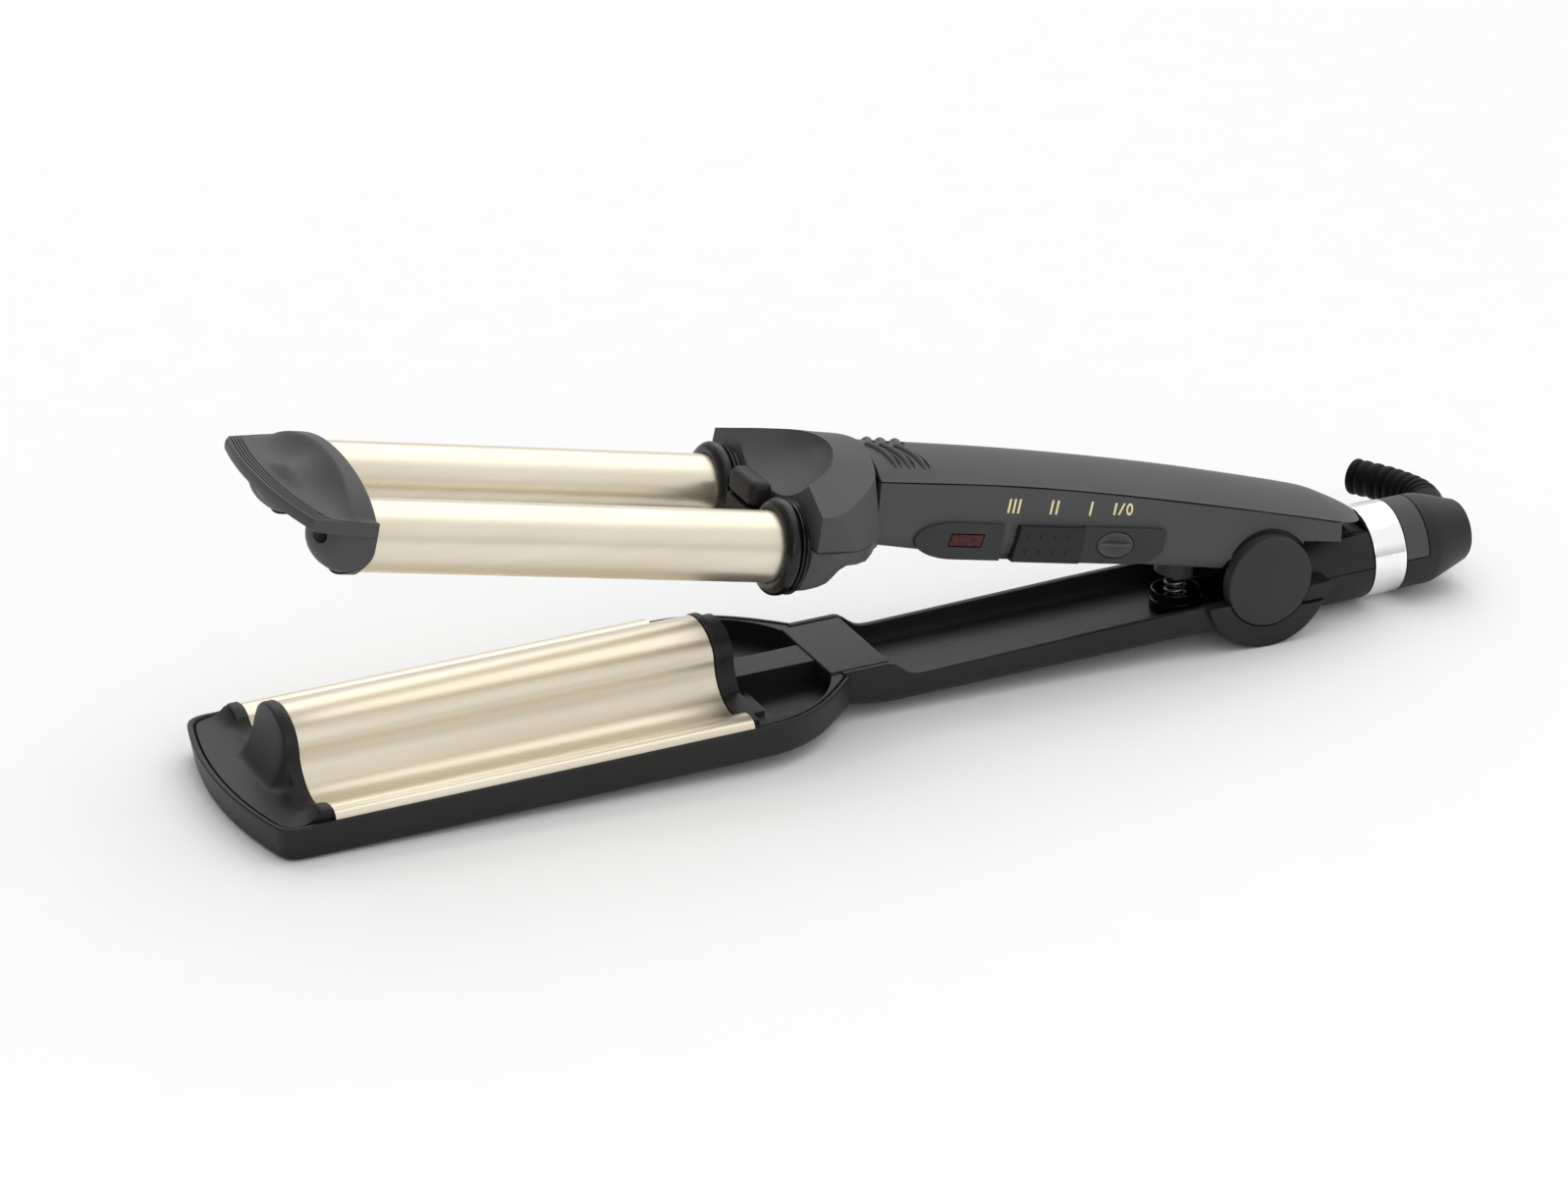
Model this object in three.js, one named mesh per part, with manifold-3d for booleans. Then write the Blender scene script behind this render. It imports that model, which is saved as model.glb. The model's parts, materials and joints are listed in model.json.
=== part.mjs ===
// A hair waver: two heated barrels on a handle close over a wave-shaped heated plate on a lower arm.
// Millimetres, +Z up. The origin is on the table, straight under the hinge. -X is the working end.
import * as THREE from "three";
import { mergeVertices } from "three/addons/utils/BufferGeometryUtils.js";
import Module from "manifold-3d";

const wasm = await Module();
wasm.setup();

// Driving dimensions
const gap = 0.3; // clearance between touching pieces
const wall = 2; // plastic wall
const hingeHeight = 19.6; // hinge pin above the foot of the hinge drum
const openAngle = 13.1; // degrees between closed and rest
const restPitch = 1.52; // degrees the lower arm leans nose-down on the table
const footLand = 0.27; // flat filed on the foot of the drum
const barrelRadius = 9.5;
const barrelWall = 1.2;
const barrelY = 21.58; // half the distance between the barrels
const barrelZ = 26.19; // barrel axis height when closed
const barrelFront = -271.5;
const barrelRear = -138.5;
const sleeveRadius = 10; // tip cap round the end of each barrel
const collarFront = -156.2;
const collarRadius = 12.9;
const headFront = -150.2;
const headRear = -123.5;
const headSeam = 29.5;
const plateFront = -279.3;
const plateRear = -162.6;
const troughRadius = 10.4;
const humpHeight = 8.2;
const plateSheet = 1.2;
const trayNose = -299.4;
const trayNoseRadius = 130;
const trayHalf = 38.4;
const trayRim = 17.9;
const trayFoot = 8.17;
const neckFront = -126;
const neckHalf = 18.63;
const wellRear = -157;
const drumRadius = 19.57;
const drumHalf = 20.67;
const capRadius = 12.87;
const cordRadius = 13.08;
const cordZ = 13.06;
const ringFront = 37.7;
const ringRear = 47.75;
const springX = -18.5;
const panelFace = -19.1;
const panelFront = -111.8;
const panelRear = -35;
const panelLow = 22.9;
const panelHigh = 33.2;

// Finishes
const finish = (color, roughness, metalness) =>
  new THREE.MeshStandardMaterial({ color, roughness, metalness });
const gold = finish(0xd3c5a0, 0.32, 0.85);
const shellBlack = finish(0x3b3b3c, 0.55, 0);
const darkBlack = finish(0x1d1d1e, 0.5, 0);
const chrome = finish(0xe6e6e8, 0.08, 1);
const steel = finish(0x9b9ca0, 0.35, 1);
const ceramic = finish(0xd9d6cf, 0.7, 0);
const redLens = finish(0x5a1218, 0.25, 0);
const boardGreen = finish(0x2c5a3c, 0.6, 0);

// Solids: three.js geometry in, manifold solids joined and cut, geometry out
function solid(geometry) {
  const plain = geometry.index ? geometry.toNonIndexed() : geometry;
  const positions = new THREE.BufferGeometry().setAttribute("position", plain.getAttribute("position"));
  const merged = mergeVertices(positions, 1e-4);
  const vertProperties = merged.attributes.position.array;
  const triVerts = new Uint32Array(merged.index.array);
  const skin = () => new wasm.Manifold(new wasm.Mesh({ numProp: 3, vertProperties, triVerts }));
  const made = skin();
  if (made.volume() > 0) return made;
  triVerts.reverse(); // a skin drawn inside out is turned round
  return skin();
}
const join = (first, ...rest) => rest.reduce((a, b) => a.add(b), first);
const cut = (first, ...rest) => rest.reduce((a, b) => a.subtract(b), first);

function part(name, shape, material) {
  const m = shape.getMesh();
  const geometry = new THREE.BufferGeometry()
    .setAttribute("position", new THREE.BufferAttribute(new Float32Array(m.vertProperties), 3))
    .setIndex(new THREE.BufferAttribute(new Uint32Array(m.triVerts), 1));
  geometry.computeVertexNormals();
  const mesh = new THREE.Mesh(geometry, material);
  mesh.name = name;
  return mesh;
}

const outline = (points) => new THREE.Shape(points.map(([a, b]) => new THREE.Vector2(a, b)));
const extrude = (shape, depth) =>
  new THREE.ExtrudeGeometry(shape, { depth, bevelEnabled: false, curveSegments: 14 });
// An outline in (x, y) raised along Z, in (y, z) drawn along X, or in (x, z) drawn along Y
const alongZ = (shape, from, to) => solid(extrude(shape, to - from).translate(0, 0, from));
const xFromZ = new THREE.Matrix4().set(0, 0, 1, 0, 1, 0, 0, 0, 0, 1, 0, 0, 0, 0, 0, 1);
const alongX = (shape, from, to) =>
  solid(extrude(shape, to - from).applyMatrix4(xFromZ).translate(from, 0, 0));
const alongY = (shape, from, to) => solid(extrude(shape, to - from).rotateX(Math.PI / 2).translate(0, to, 0));
function block(x0, x1, y0, y1, z0, z1) {
  const box = new THREE.BoxGeometry(x1 - x0, y1 - y0, z1 - z0);
  return solid(box.translate((x0 + x1) / 2, (y0 + y1) / 2, (z0 + z1) / 2));
}
const rodX = (r, x0, x1, y, z, sides = 32) =>
  solid(new THREE.CylinderGeometry(r, r, x1 - x0, sides).rotateZ(Math.PI / 2).translate((x0 + x1) / 2, y, z));
const rodY = (r, y0, y1, x, z, sides = 32) =>
  solid(new THREE.CylinderGeometry(r, r, y1 - y0, sides).translate(x, (y0 + y1) / 2, z));
const ovalY = (rx, rz, y0, y1, x, z) =>
  solid(new THREE.CylinderGeometry(1, 1, y1 - y0, 32).scale(rx, 1, rz).translate(x, (y0 + y1) / 2, z));
const rodZ = (r, z0, z1, x, y, sides = 24) =>
  solid(new THREE.CylinderGeometry(r, r, z1 - z0, sides).rotateX(Math.PI / 2).translate(x, y, (z0 + z1) / 2));
// A closed (radius, x) profile turned about a line parallel to X
function turnedX(profile, y, z, sides = 36) {
  const points = [...profile, profile[0]].map(([r, x]) => new THREE.Vector2(r, -x));
  return solid(new THREE.LatheGeometry(points, sides).rotateZ(Math.PI / 2).translate(0, y, z));
}
// The flat end of a loft, wound with its ring (along = 1) or against it (along = -1)
function endFaces(ring, flat, along) {
  const points = ring.map(flat);
  const wound = Math.sign(THREE.ShapeUtils.area(points)) * along;
  return THREE.ShapeUtils.triangulateShape(points, []).map((face) =>
    Math.sign(THREE.ShapeUtils.area(face.map((i) => points[i]))) === wound ? face : face.reverse(),
  );
}
// A closed skin through rings of the same number of points, with flat ends
function loft(rings, flat) {
  const n = rings[0].length;
  const last = (rings.length - 1) * n;
  const index = endFaces(rings[0], flat, -1).flat();
  index.push(...endFaces(rings[rings.length - 1], flat, 1).flat().map((i) => last + i));
  for (let i = 0; i < rings.length - 1; i++)
    for (let j = 0; j < n; j++) {
      const a = i * n + j;
      const b = i * n + ((j + 1) % n);
      index.push(a, b, b + n, a, b + n, a + n);
    }
  const geometry = new THREE.BufferGeometry().setFromPoints(rings.flat());
  geometry.setIndex(index);
  return solid(geometry);
}
// Half sections [y, z] that start and end on the centre line, mirrored, at stations along X
function loftX(stations) {
  const rings = stations.map(({ x, half }) => {
    const right = half.map(([y, z]) => new THREE.Vector3(x, y, z));
    const left = half.slice(1, -1).map(([y, z]) => new THREE.Vector3(x, -y, z)).reverse();
    return [...right, ...left];
  });
  return loft(rings, (p) => new THREE.Vector2(p.y, p.z));
}
const between = (a, b, t) => a + (b - a) * t;
const degrees = (a) => (a * Math.PI) / 180;
const arc = (cx, cy, rx, ry, from, to, steps) =>
  Array.from({ length: steps + 1 }, (_, i) => {
    const t = degrees(between(from, to, i / steps));
    return [cx + rx * Math.cos(t), cy + ry * Math.sin(t)];
  });

// Screws: a pan head at the foot of a shank that points up, with a cross slot in the head
const screwHead = 2.7;
const screwDeep = 1.4;
const screwShank = 1.2;
const slotHalf = 0.35;
const slotReach = 2;
const slotDeep = 0.9;
function screw(name, x, y, z, length) {
  const head = rodZ(screwHead, z + gap, z + screwDeep, x, y, 14);
  const shank = rodZ(screwShank, z + 1, z + length, x, y, 8);
  const slotX = block(x - slotReach, x + slotReach, y - slotHalf, y + slotHalf, z, z + slotDeep);
  const slotY = block(x - slotHalf, x + slotHalf, y - slotReach, y + slotReach, z, z + slotDeep);
  return part(name, cut(join(head, shank), slotX, slotY), steel);
}
function screwBore(x, y, z, length) {
  const headRoom = rodZ(screwHead + gap, z - 9, z + screwDeep + gap, x, y, 14);
  return join(headRoom, rodZ(screwShank + gap, z, z + length + gap, x, y, 8));
}

// Plan outline of the tray, drawn in by inset
function trayOutline(inset, rearX) {
  const cornerY = 34;
  const nose = trayNose + inset;
  const cornerX = nose + trayNoseRadius - Math.sqrt(trayNoseRadius ** 2 - cornerY ** 2);
  const side = trayHalf - inset;
  const half = [[nose, 0]];
  for (let i = 1; i <= 5; i++) {
    const y = (cornerY * i) / 5;
    half.push([nose + trayNoseRadius - Math.sqrt(trayNoseRadius ** 2 - y ** 2), y]);
  }
  half.push([cornerX + 2.2, between(cornerY, side, 0.75)], [cornerX + 6, side], [-160, side]);
  const shoulder = new THREE.CubicBezierCurve(
    new THREE.Vector2(-160, side),
    new THREE.Vector2(-146, side),
    new THREE.Vector2(-137 - inset, 31),
    new THREE.Vector2(rearX, neckHalf - inset),
  );
  shoulder.getPoints(6).slice(1).forEach((p) => half.push([p.x, p.y]));
  const mirrored = half.slice(1).map(([x, y]) => [x, -y]);
  return [...half.reverse(), ...mirrored].reverse();
}
const trayRing = (inset, z, rearX = neckFront) =>
  trayOutline(inset, rearX).map(([x, y]) => new THREE.Vector3(x, y, z)).reverse();
const trayLoft = (...rings) => loft(rings, (p) => new THREE.Vector2(p.x, p.y));

// The round sleeve that holds the cord swivel, from the given front end to the chrome ring
function cordSleeve(front) {
  const outside = rodX(cordRadius, front, ringFront - gap, 0, cordZ, 32);
  return cut(outside, rodX(cordRadius - wall, 9, 40, 0, cordZ, 32));
}

const cordScrewX = 24.5;
const jawScrews = [[-289, 0], [-140, 0]];
const channelRail = [[neckFront - 2, trayFoot], [-116, 6.2], [-14, 6.2], [-8, 12], [-8, 15.2], [-43, 14.9]];
const neckRail = [[-107.5, 13.9], [-109.5, 15], [-112, 17.2], [-114.5, 18.4], [neckFront - 2, 18.4]];

function lowerShell() {
  const tray = cut(
    trayLoft(trayRing(2, trayFoot), trayRing(0.4, trayRim - 6), trayRing(0, trayRim)),
    trayLoft(trayRing(wall + 2, trayFoot + wall), trayRing(wall, trayFoot + 5), trayRing(wall, trayRim + 2)),
    block(plateFront - gap, plateRear + gap, 0.6 - trayHalf, trayHalf - 0.6, 15.8, 40),
  );
  const rails = [-1, 1].map((side) => {
    const y = side < 0 ? -neckHalf : neckHalf - wall;
    return alongY(outline([...channelRail, ...neckRail]), y, y + wall);
  });
  const floor = block(neckFront - 8, -13, -neckHalf + 0.9, neckHalf - 0.9, 6.2, 8.2);
  const drumTop = 15;
  const drum = cut(
    rodY(drumRadius, -drumHalf, drumHalf, 0, hingeHeight, 36),
    block(-30, 30, -30, 30, drumTop, 50),
    rodY(drumRadius - wall, -16.6, 16.6, 0, hingeHeight, 36),
    block(-22, -8, -16.6, 16.6, 8.2, 20),
    block(10, 30, -cordRadius - gap, cordRadius + gap, cordZ - gap / 2, 20),
  );
  const web = join(rodY(10.5, -16.7, 16.7, 0, hingeHeight), block(-10.5, 10.5, -16.7, 16.7, 1, hingeHeight));
  const webs = cut(web, block(-11, 11, -14.2, 14.2, 1.9, 40));
  const cordTube = cordSleeve(12);
  const cordHalf = cut(cordTube, block(5, 40, -20, 20, cordZ - gap / 2, 40));
  const land = new THREE.BoxGeometry(80, 60, 10).translate(0, 0, footLand - 5).rotateY(degrees(restPitch));
  return cut(
    join(tray, floor, ...rails, drum, webs, cordHalf),
    rodY(3.2, -18, 18, 0, hingeHeight),
    rodY(capRadius + gap, -30, -16.8, 0, hingeHeight, 32),
    rodY(capRadius + gap, 16.8, 30, 0, hingeHeight, 32),
    solid(land),
    block(neckFront - 9, neckFront + 4, -neckHalf + wall, neckHalf - wall, 8.2, 30),
    ...jawScrews.map(([x, y]) => screwBore(x, y, trayFoot, 5)),
    screwBore(cordScrewX, 0, footLand, 6),
  );
}

// Wave profile: bead rails, two troughs and a hump, drawn in by t for the underside
function waveHalf(t) {
  const rim = 19.1 - t;
  const turn = Math.asin((rim - barrelZ) / (troughRadius + t)) / degrees(1);
  const hump = arc(0, barrelZ, barrelY - troughRadius - t, humpHeight - t, 90, 0, 9);
  const trough = arc(barrelY, barrelZ, troughRadius + t, troughRadius + t, 180, 360 + turn, 14);
  return [...hump, ...trough.slice(1)];
}
function waveOutline() {
  const bead = [[31, 19.9], [34, 20.3], [36.4, 19.7], [37.4, 18.2], [37.4, 16.2]];
  const under = [[36.2, 16.2], [36, 17.6]];
  const half = [...waveHalf(0), ...bead, ...under, ...waveHalf(plateSheet).reverse()];
  return half;
}
function mirrorOpen(half, lastTop) {
  const top = half.slice(0, lastTop);
  const bottom = half.slice(lastTop);
  const flip = (list) => list.map(([y, z]) => [-y, z]).reverse();
  return [...flip(top), ...top.slice(1), ...bottom.slice(0, -1), ...flip(bottom)];
}
function wavePlate() {
  const half = waveOutline();
  return alongX(outline(mirrorOpen(half, waveHalf(0).length + 5)), plateFront, plateRear);
}

// A wave-shaped wall that closes the end of the wave plate
function bulkhead(x0, x1, grow, foot, reach) {
  const top = [...arc(0, barrelZ, barrelY - troughRadius + grow, humpHeight + grow, 90, 0, 9)];
  const trough = arc(barrelY, barrelZ, troughRadius, troughRadius, 190, 316, 10);
  const half = [...top, ...trough, [reach, 19.4], [reach, foot]];
  const left = half.slice(1).map(([y, z]) => [-y, z]).reverse();
  return alongX(outline([...left, ...half].reverse()), x0, x1);
}

// A solid that fills the tray up to the given height, clear of its walls
function trayFilling(top) {
  const foot = trayRing(wall + 2.4, trayFoot + wall + gap);
  return trayLoft(foot, trayRing(wall + gap, trayFoot + 5 + gap), trayRing(wall + gap, top));
}
function noseInsert() {
  const deck = cut(trayFilling(trayRim - 1.6), block(plateFront - gap, 0, -60, 60, 0, 60));
  const fin = bulkhead(-283.4, plateFront - gap, 0.5, 12, 35.6);
  return cut(join(deck, fin), screwBore(jawScrews[0][0], 0, trayFoot, 5));
}

function rearInsert() {
  const deckTop = trayRim - 0.2;
  const deck = cut(trayFilling(deckTop), block(-320, plateRear + gap, -60, 60, 0, 60));
  const well = (side) => {
    const curve = new THREE.CubicBezierCurve(
      new THREE.Vector2(-148, 33),
      new THREE.Vector2(-141, 31),
      new THREE.Vector2(-131, 24),
      new THREE.Vector2(-127.5, 6),
    );
    const edge = curve.getPoints(8).map((p) => [p.x, side * p.y]);
    return alongZ(outline([[wellRear, side * 5.2], [wellRear, side * 33], ...edge]), 11.6, 40);
  };
  const band = bulkhead(plateRear + gap, -160.4, 0, 12, 35.6);
  const ridge = bulkhead(-160.6, wellRear, -0.9, 12, 33);
  const reach = neckHalf - wall - gap;
  const neck = block(neckFront - 4, -113.6, -reach, reach, 8.6, deckTop + 0.4);
  const sideRoom = [[reach, 40], [-40, -reach]];
  const railRoom = sideRoom.map(([y0, y1]) => block(neckFront - 2 - gap, -100, y0, y1, 0, 60));
  const insert = cut(join(deck, band, ridge, neck), well(1), well(-1), ...railRoom);
  const troughs = [-1, 1].map((s) => rodX(troughRadius, plateRear - 1, -130, s * barrelY, barrelZ, 36));
  return cut(insert, ...troughs, screwBore(jawScrews[1][0], 0, trayFoot, 5));
}

function hingePin() {
  return rodY(2.9, -16.8, 16.8, 0, hingeHeight);
}
function hingeCap(side) {
  const profile = [[0, 17.1], [capRadius, 17.1], [capRadius, 20.3], [capRadius - 0.6, 20.9], [0, 20.9]];
  const points = profile.map(([r, h]) => new THREE.Vector2(r, h));
  const geometry = new THREE.LatheGeometry(points, 40);
  if (side < 0) geometry.rotateX(Math.PI);
  return solid(geometry.translate(0, 0, hingeHeight));
}

function springCup() {
  return cut(rodZ(7.4, 8.5, 14, springX, 0, 32), rodZ(6.4, 9.4, 20, springX, 0, 32));
}
class Helix extends THREE.Curve {
  getPoint(t, target = new THREE.Vector3()) {
    const turns = 5.5;
    const radius = 2.8;
    const a = t * turns * 2 * Math.PI;
    return target.set(springX + radius * Math.cos(a), radius * Math.sin(a), between(10.2, 22, t));
  }
}
function coilSpring() {
  const wire = new THREE.Shape().absarc(0, 0, 0.55, 0, 2 * Math.PI);
  const options = { steps: 50, curveSegments: 2, extrudePath: new Helix(), bevelEnabled: false };
  return solid(new THREE.ExtrudeGeometry(wire, options));
}

function cordCover() {
  const flatTop = 22.3;
  const lower = block(5, 40, -20, 20, -5, cordZ + gap / 2);
  const trimmed = cut(cordSleeve(15.5), lower, block(5, 40, -20, 20, flatTop, 40));
  const pillar = cut(rodZ(3, 3.4, flatTop, cordScrewX, 0, 16), rodZ(1.5, 0, 7, cordScrewX, 0, 12));
  return join(trimmed, pillar, block(cordScrewX - 2, cordScrewX + 2, -11, 11, 20, flatTop));
}
function chromeRing() {
  const r = cordRadius;
  return turnedX([[r - 1.6, ringFront], [r - 0.2, ringFront], [r, ringFront + 0.3], [r, ringRear - 0.3],
    [r - 0.2, ringRear], [r - 1.6, ringRear]], 0, cordZ, 36);
}
function swivelBarrel() {
  return turnedX([[5, 30], [10.4, 30], [10.4, 33], [8.6, 33], [8.6, 47.6], [5, 47.6]], 0, cordZ, 28);
}
const reliefStops = [[64.5, 5.5, 13.4], [69.5, 13, 14], [72.3, 23, 14], [69.4, 34, 14], [63.4, 45, 14]];
const reliefPath = new THREE.CatmullRomCurve3(reliefStops.map((p) => new THREE.Vector3(...p)));
const swivelFront = ringRear + gap;
const coverRear = 55;
const swivelRadius = cordRadius - 0.2;
function swivelOuter() {
  const r = swivelRadius;
  const rear = [[8.6, 71], [7.4, 71.8], [0, 71.8]];
  const profile = [[0, swivelFront], [r, swivelFront], [r, 58.5], [r - 1.2, 62.5], ...rear];
  return turnedX(profile, 0, cordZ, 36);
}
function swivelParts() {
  const outer = swivelOuter();
  const hollow = rodX(swivelRadius - wall, swivelFront - 1, 57, 0, cordZ, 36);
  const exitRod = new THREE.CylinderGeometry(5.4, 5.4, 16, 24).rotateZ(degrees(-30));
  const exit = solid(exitRod.translate(67.5, 9.5, 13.8));
  const upper = block(swivelFront - 1, coverRear, -20, 20, cordZ, 32);
  const cover = cut(cut(outer, hollow).intersect(upper), block(0, 80, -20, 20, 0, cordZ + gap / 2));
  const coverRoom = block(swivelFront - 1, coverRear + gap, -20, 20, cordZ - gap / 2, 40);
  const body = cut(outer, hollow, exit, coverRoom);
  return { body, cover };
}
function strainRelief() {
  const section = new THREE.Shape().absarc(0, 0, 4.2, 0, 2 * Math.PI);
  const options = { steps: 10, curveSegments: 5, extrudePath: reliefPath, bevelEnabled: false };
  const core = solid(new THREE.ExtrudeGeometry(section, options));
  const ribs = 10;
  const up = new THREE.Vector3(0, 1, 0);
  const rings = Array.from({ length: ribs }, (_, i) => {
    const t = between(0.4, 0.985, i / (ribs - 1));
    const turn = new THREE.Quaternion().setFromUnitVectors(up, reliefPath.getTangentAt(t));
    const place = new THREE.Matrix4().compose(reliefPath.getPointAt(t), turn, new THREE.Vector3(1, 1, 1));
    return solid(new THREE.CylinderGeometry(5.3, 5.3, 1.6, 12).applyMatrix4(place));
  });
  const cordHole = new THREE.CylinderGeometry(3, 3, 12, 16).rotateZ(degrees(30));
  return cut(join(core, ...rings), solid(cordHole.translate(61.5, 48.2, 14)));
}

// Upper arm, drawn in its closed position
function barrel(side) {
  const tube = cut(
    rodX(barrelRadius, barrelFront - 3, barrelRear, side * barrelY, barrelZ, 40),
    rodX(barrelRadius - barrelWall, barrelFront - 5, barrelRear + 1, side * barrelY, barrelZ, 32),
  );
  return cut(tube, capRearCutter(gap));
}
function barrelHeater(side) {
  return rodX(4.6, -262, -150, side * barrelY, barrelZ, 20);
}
// Everything in front of the rear face of the tip cap, which curves in under the barrels
const capRear = -271.6;
function capRearCutter(offset) {
  const rear = [[-280, 12], [-276.4, 17.5], [-273.3, 22.7], [-271.9, 27], [capRear, 30], [capRear, 60]];
  const edge = rear.map(([x, z]) => [x + offset, z]);
  return alongY(outline([[-330, 0], ...edge, [-330, 60]]), -50, 50);
}
const capSeam = 29.6;
const capArchFront = -284.4;
const capArchHalf = 12.1; // arch that clears the hump of the plate and the nose fin
const capSkirt = 33; // half width of the tip cap
// A lip in front, a scooped slope up to the rear rim, and a dome round the end of each barrel
function capBody() {
  const lip = [[-293.4, 33.6], [-293.2, 31.8], [-288.6, 29.6]];
  const dome = arc(-276.2, 27.4, 11, 11.4, 170, 262, 7);
  const bowlSlope = [[-277, 40.6], [-281, 38.8], [-285, 36.2], [-289, 34.6]];
  const slope = [[-260, 15.6], [-260, 44], [-272, 42], ...bowlSlope];
  const crown = arc(0, 29, capSkirt, 12.6, 0, 180, 16);
  const nearDome = arc(-barrelY, barrelZ, sleeveRadius, sleeveRadius, 190, 340, 10);
  const farDome = nearDome.map(([y, z]) => [-y, z]).reverse();
  const archFoot = [[-capArchHalf, 26], [capArchHalf, 26]];
  const front = [...crown, [-capSkirt, 28], ...nearDome, ...archFoot, ...farDome, [capSkirt, 28]];
  const across = alongX(outline(front), -300, -255);
  const side = alongY(outline([...lip, ...dome, ...slope]), -40, 40);
  const hull = across.intersect(side).intersect(capRearCutter(0));
  const chin = solid(new THREE.SphereGeometry(1, 16, 10).scale(3.6, 9, 3.8).translate(-288, 0, 30));
  const archTop = arc(0, 27, capArchHalf, 8.6, 0, 180, 10);
  const archOutline = outline([[capArchHalf, 10], ...archTop, [-capArchHalf, 10]]);
  const arch = alongX(archOutline, capArchFront, -250);
  const bowl = new THREE.SphereGeometry(1, 20, 14).scale(8, 22, 3).rotateY(degrees(-28));
  return cut(join(hull, chin), arch, solid(bowl.translate(-283.4, 0, 40.3)));
}
function tipCapUpper() {
  return capBody().intersect(block(-300, -255, -40, 40, capSeam + gap / 2, 60));
}
function tipCapLower() {
  const half = capBody().intersect(block(-300, -255, -40, 40, 0, capSeam - gap / 2));
  const above = capRearCutter(0).intersect(block(-330, -255, -50, 50, capSeam - gap / 2, 60));
  const plugs = [-1, 1].map((s) => cut(rodX(7.6, -278, -266, s * barrelY, barrelZ, 24), above));
  const holes = [-1, 1].map((s) => rodX(1.7, -300, -284.2, s * 26, 27, 12));
  return cut(join(half, ...plugs), ...holes);
}

const collarDepth = 3.9;
function collar(side) {
  const inside = barrelRadius + gap;
  const rim = [[1.4, 0], [0.3, 0.9], [0, 2], [0.3, 3.3], [0.9, collarDepth]];
  const outside = rim.map(([inset, back]) => [collarRadius - inset, collarFront + back]);
  const profile = [[inside, collarFront], ...outside, [inside, collarFront + collarDepth]];
  return turnedX(profile, side * barrelY, barrelZ, 30);
}
function collarRing(side) {
  const x = collarFront + collarDepth + gap;
  const profile = [[barrelRadius + gap, x], [12.2, x], [12.2, x + 1.2], [barrelRadius + gap, x + 1.2]];
  return turnedX(profile, side * barrelY, barrelZ, 30);
}
const blockSeam = 31.2;
function centreBlock(z0, z1) {
  const side = [[-156.6, 5], [-155, 7.2], [headFront - gap, 8.2]];
  const plan = [...side.map(([x, y]) => [x, -y]), ...side.reverse()];
  return alongZ(outline(plan), z0, z1);
}

// Half sections of the head: two horns in front, a saddle between them, a round neck behind
const headUpperStations = [
  [headFront, [35.2, headSeam], [34.6, 39.2], [22.4, 43.6], [18, 40.1], [11, 36.9], [0, 35.8]],
  [-145, [35.8, headSeam], [33.8, 39.3], [20, 44.6], [14, 41.6], [8, 40], [0, 39.6]],
  [-138, [31.4, headSeam], [29.4, 40], [14.2, 46.7], [9.5, 45.6], [5, 44.8], [0, 44.5]],
  [-131, [25, headSeam], [21.6, 42], [9, 48], [6, 48.2], [3, 48], [0, 47.8]],
  [headRear, [19.4, headSeam], [16.4, 43], [9, 47.6], [6, 48.2], [3, 48.5], [0, 48.6]],
].map(([x, ...half]) => ({ x, half: [[0, headSeam], ...half] }));
const cradleTop = headSeam - gap;
// A cradle under each barrel, up to the neck
const headLowerStations = [
  [headFront, [0, 24], [8, 24], [13, 17], [21.5, 14.6], [30, 17.6], [35, 24], [35.2, cradleTop]],
  [-143, [0, 24], [8, 24], [13, 19.6], [21.5, 18.4], [29.5, 20], [35, 24.6], [35.6, cradleTop]],
  [-139.4, [0, 24.6], [8, 24.6], [13, 24.2], [21, 23.8], [28, 24.2], [32, 25.6], [32.8, cradleTop]],
  [-131, [0, 25.2], [8, 25.2], [13, 25.2], [18, 25.2], [22, 25.4], [24.2, 26.4], [25, cradleTop]],
  [headRear, [0, 25.2], [8, 25.2], [12, 25.2], [15, 25.2], [17, 25.4], [18.6, 26.4], [19.4, cradleTop]],
].map(([x, ...half]) => ({ x, half: [...half, [0, cradleTop]] }));
const headScrews = [[-128.4, -12.6], [-128.4, 12.6]];
const headScrewFoot = 25.2;
const headBores = () => headScrews.map(([x, y]) => screwBore(x, y, headScrewFoot, 6));
function barrelBores() {
  const bore = (y) => rodX(barrelRadius + gap, headFront - 1, barrelRear + gap, y, barrelZ, 40);
  return [bore(-barrelY), bore(barrelY)];
}
function headUpper() {
  const wires = block(-141, headRear + 1, -9, 9, headSeam - 1, 39);
  return cut(loftX(headUpperStations), ...barrelBores(), wires, ...headBores());
}
function headLower() {
  const wires = block(-141, -120, -9, 9, headSeam - 1, 40);
  return cut(loftX(headLowerStations), ...barrelBores(), wires, ...headBores());
}

// Handle sections: crown and seam heights and seam half width along X
const handleFront = headRear + gap;
const lidStations = [
  [handleFront, 47.3, 42.9, 15.6],
  [-86, 46.9, 43.1, 15.6],
  [-56, 45.7, 42, 15.7],
  [-24, 43.7, 39.9, 15.8],
  [8, 40.5, 37.2, 15.7],
  [22.4, 38.6, 35.7, 15.3],
  [28, 37, 34.7, 12.4],
  [32, 35.6, 34, 8.4],
  [34.6, 34.5, 33.6, 3],
];
const handleScrews = [[-116, 0], [-40, 0]];
const pillarTop = [46, 43.4];
function lidRing([x, crown, seam, half]) {
  const thick = x < 23 ? wall : 1.2;
  const steps = 6;
  const curve = (top, reach) =>
    Array.from({ length: 2 * steps + 1 }, (_, i) => {
      const t = i / steps - 1;
      return new THREE.Vector3(x, reach * t, between(top, seam, t * t));
    });
  return [...curve(crown, half), ...curve(crown - thick, half - thick).reverse()];
}
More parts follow.
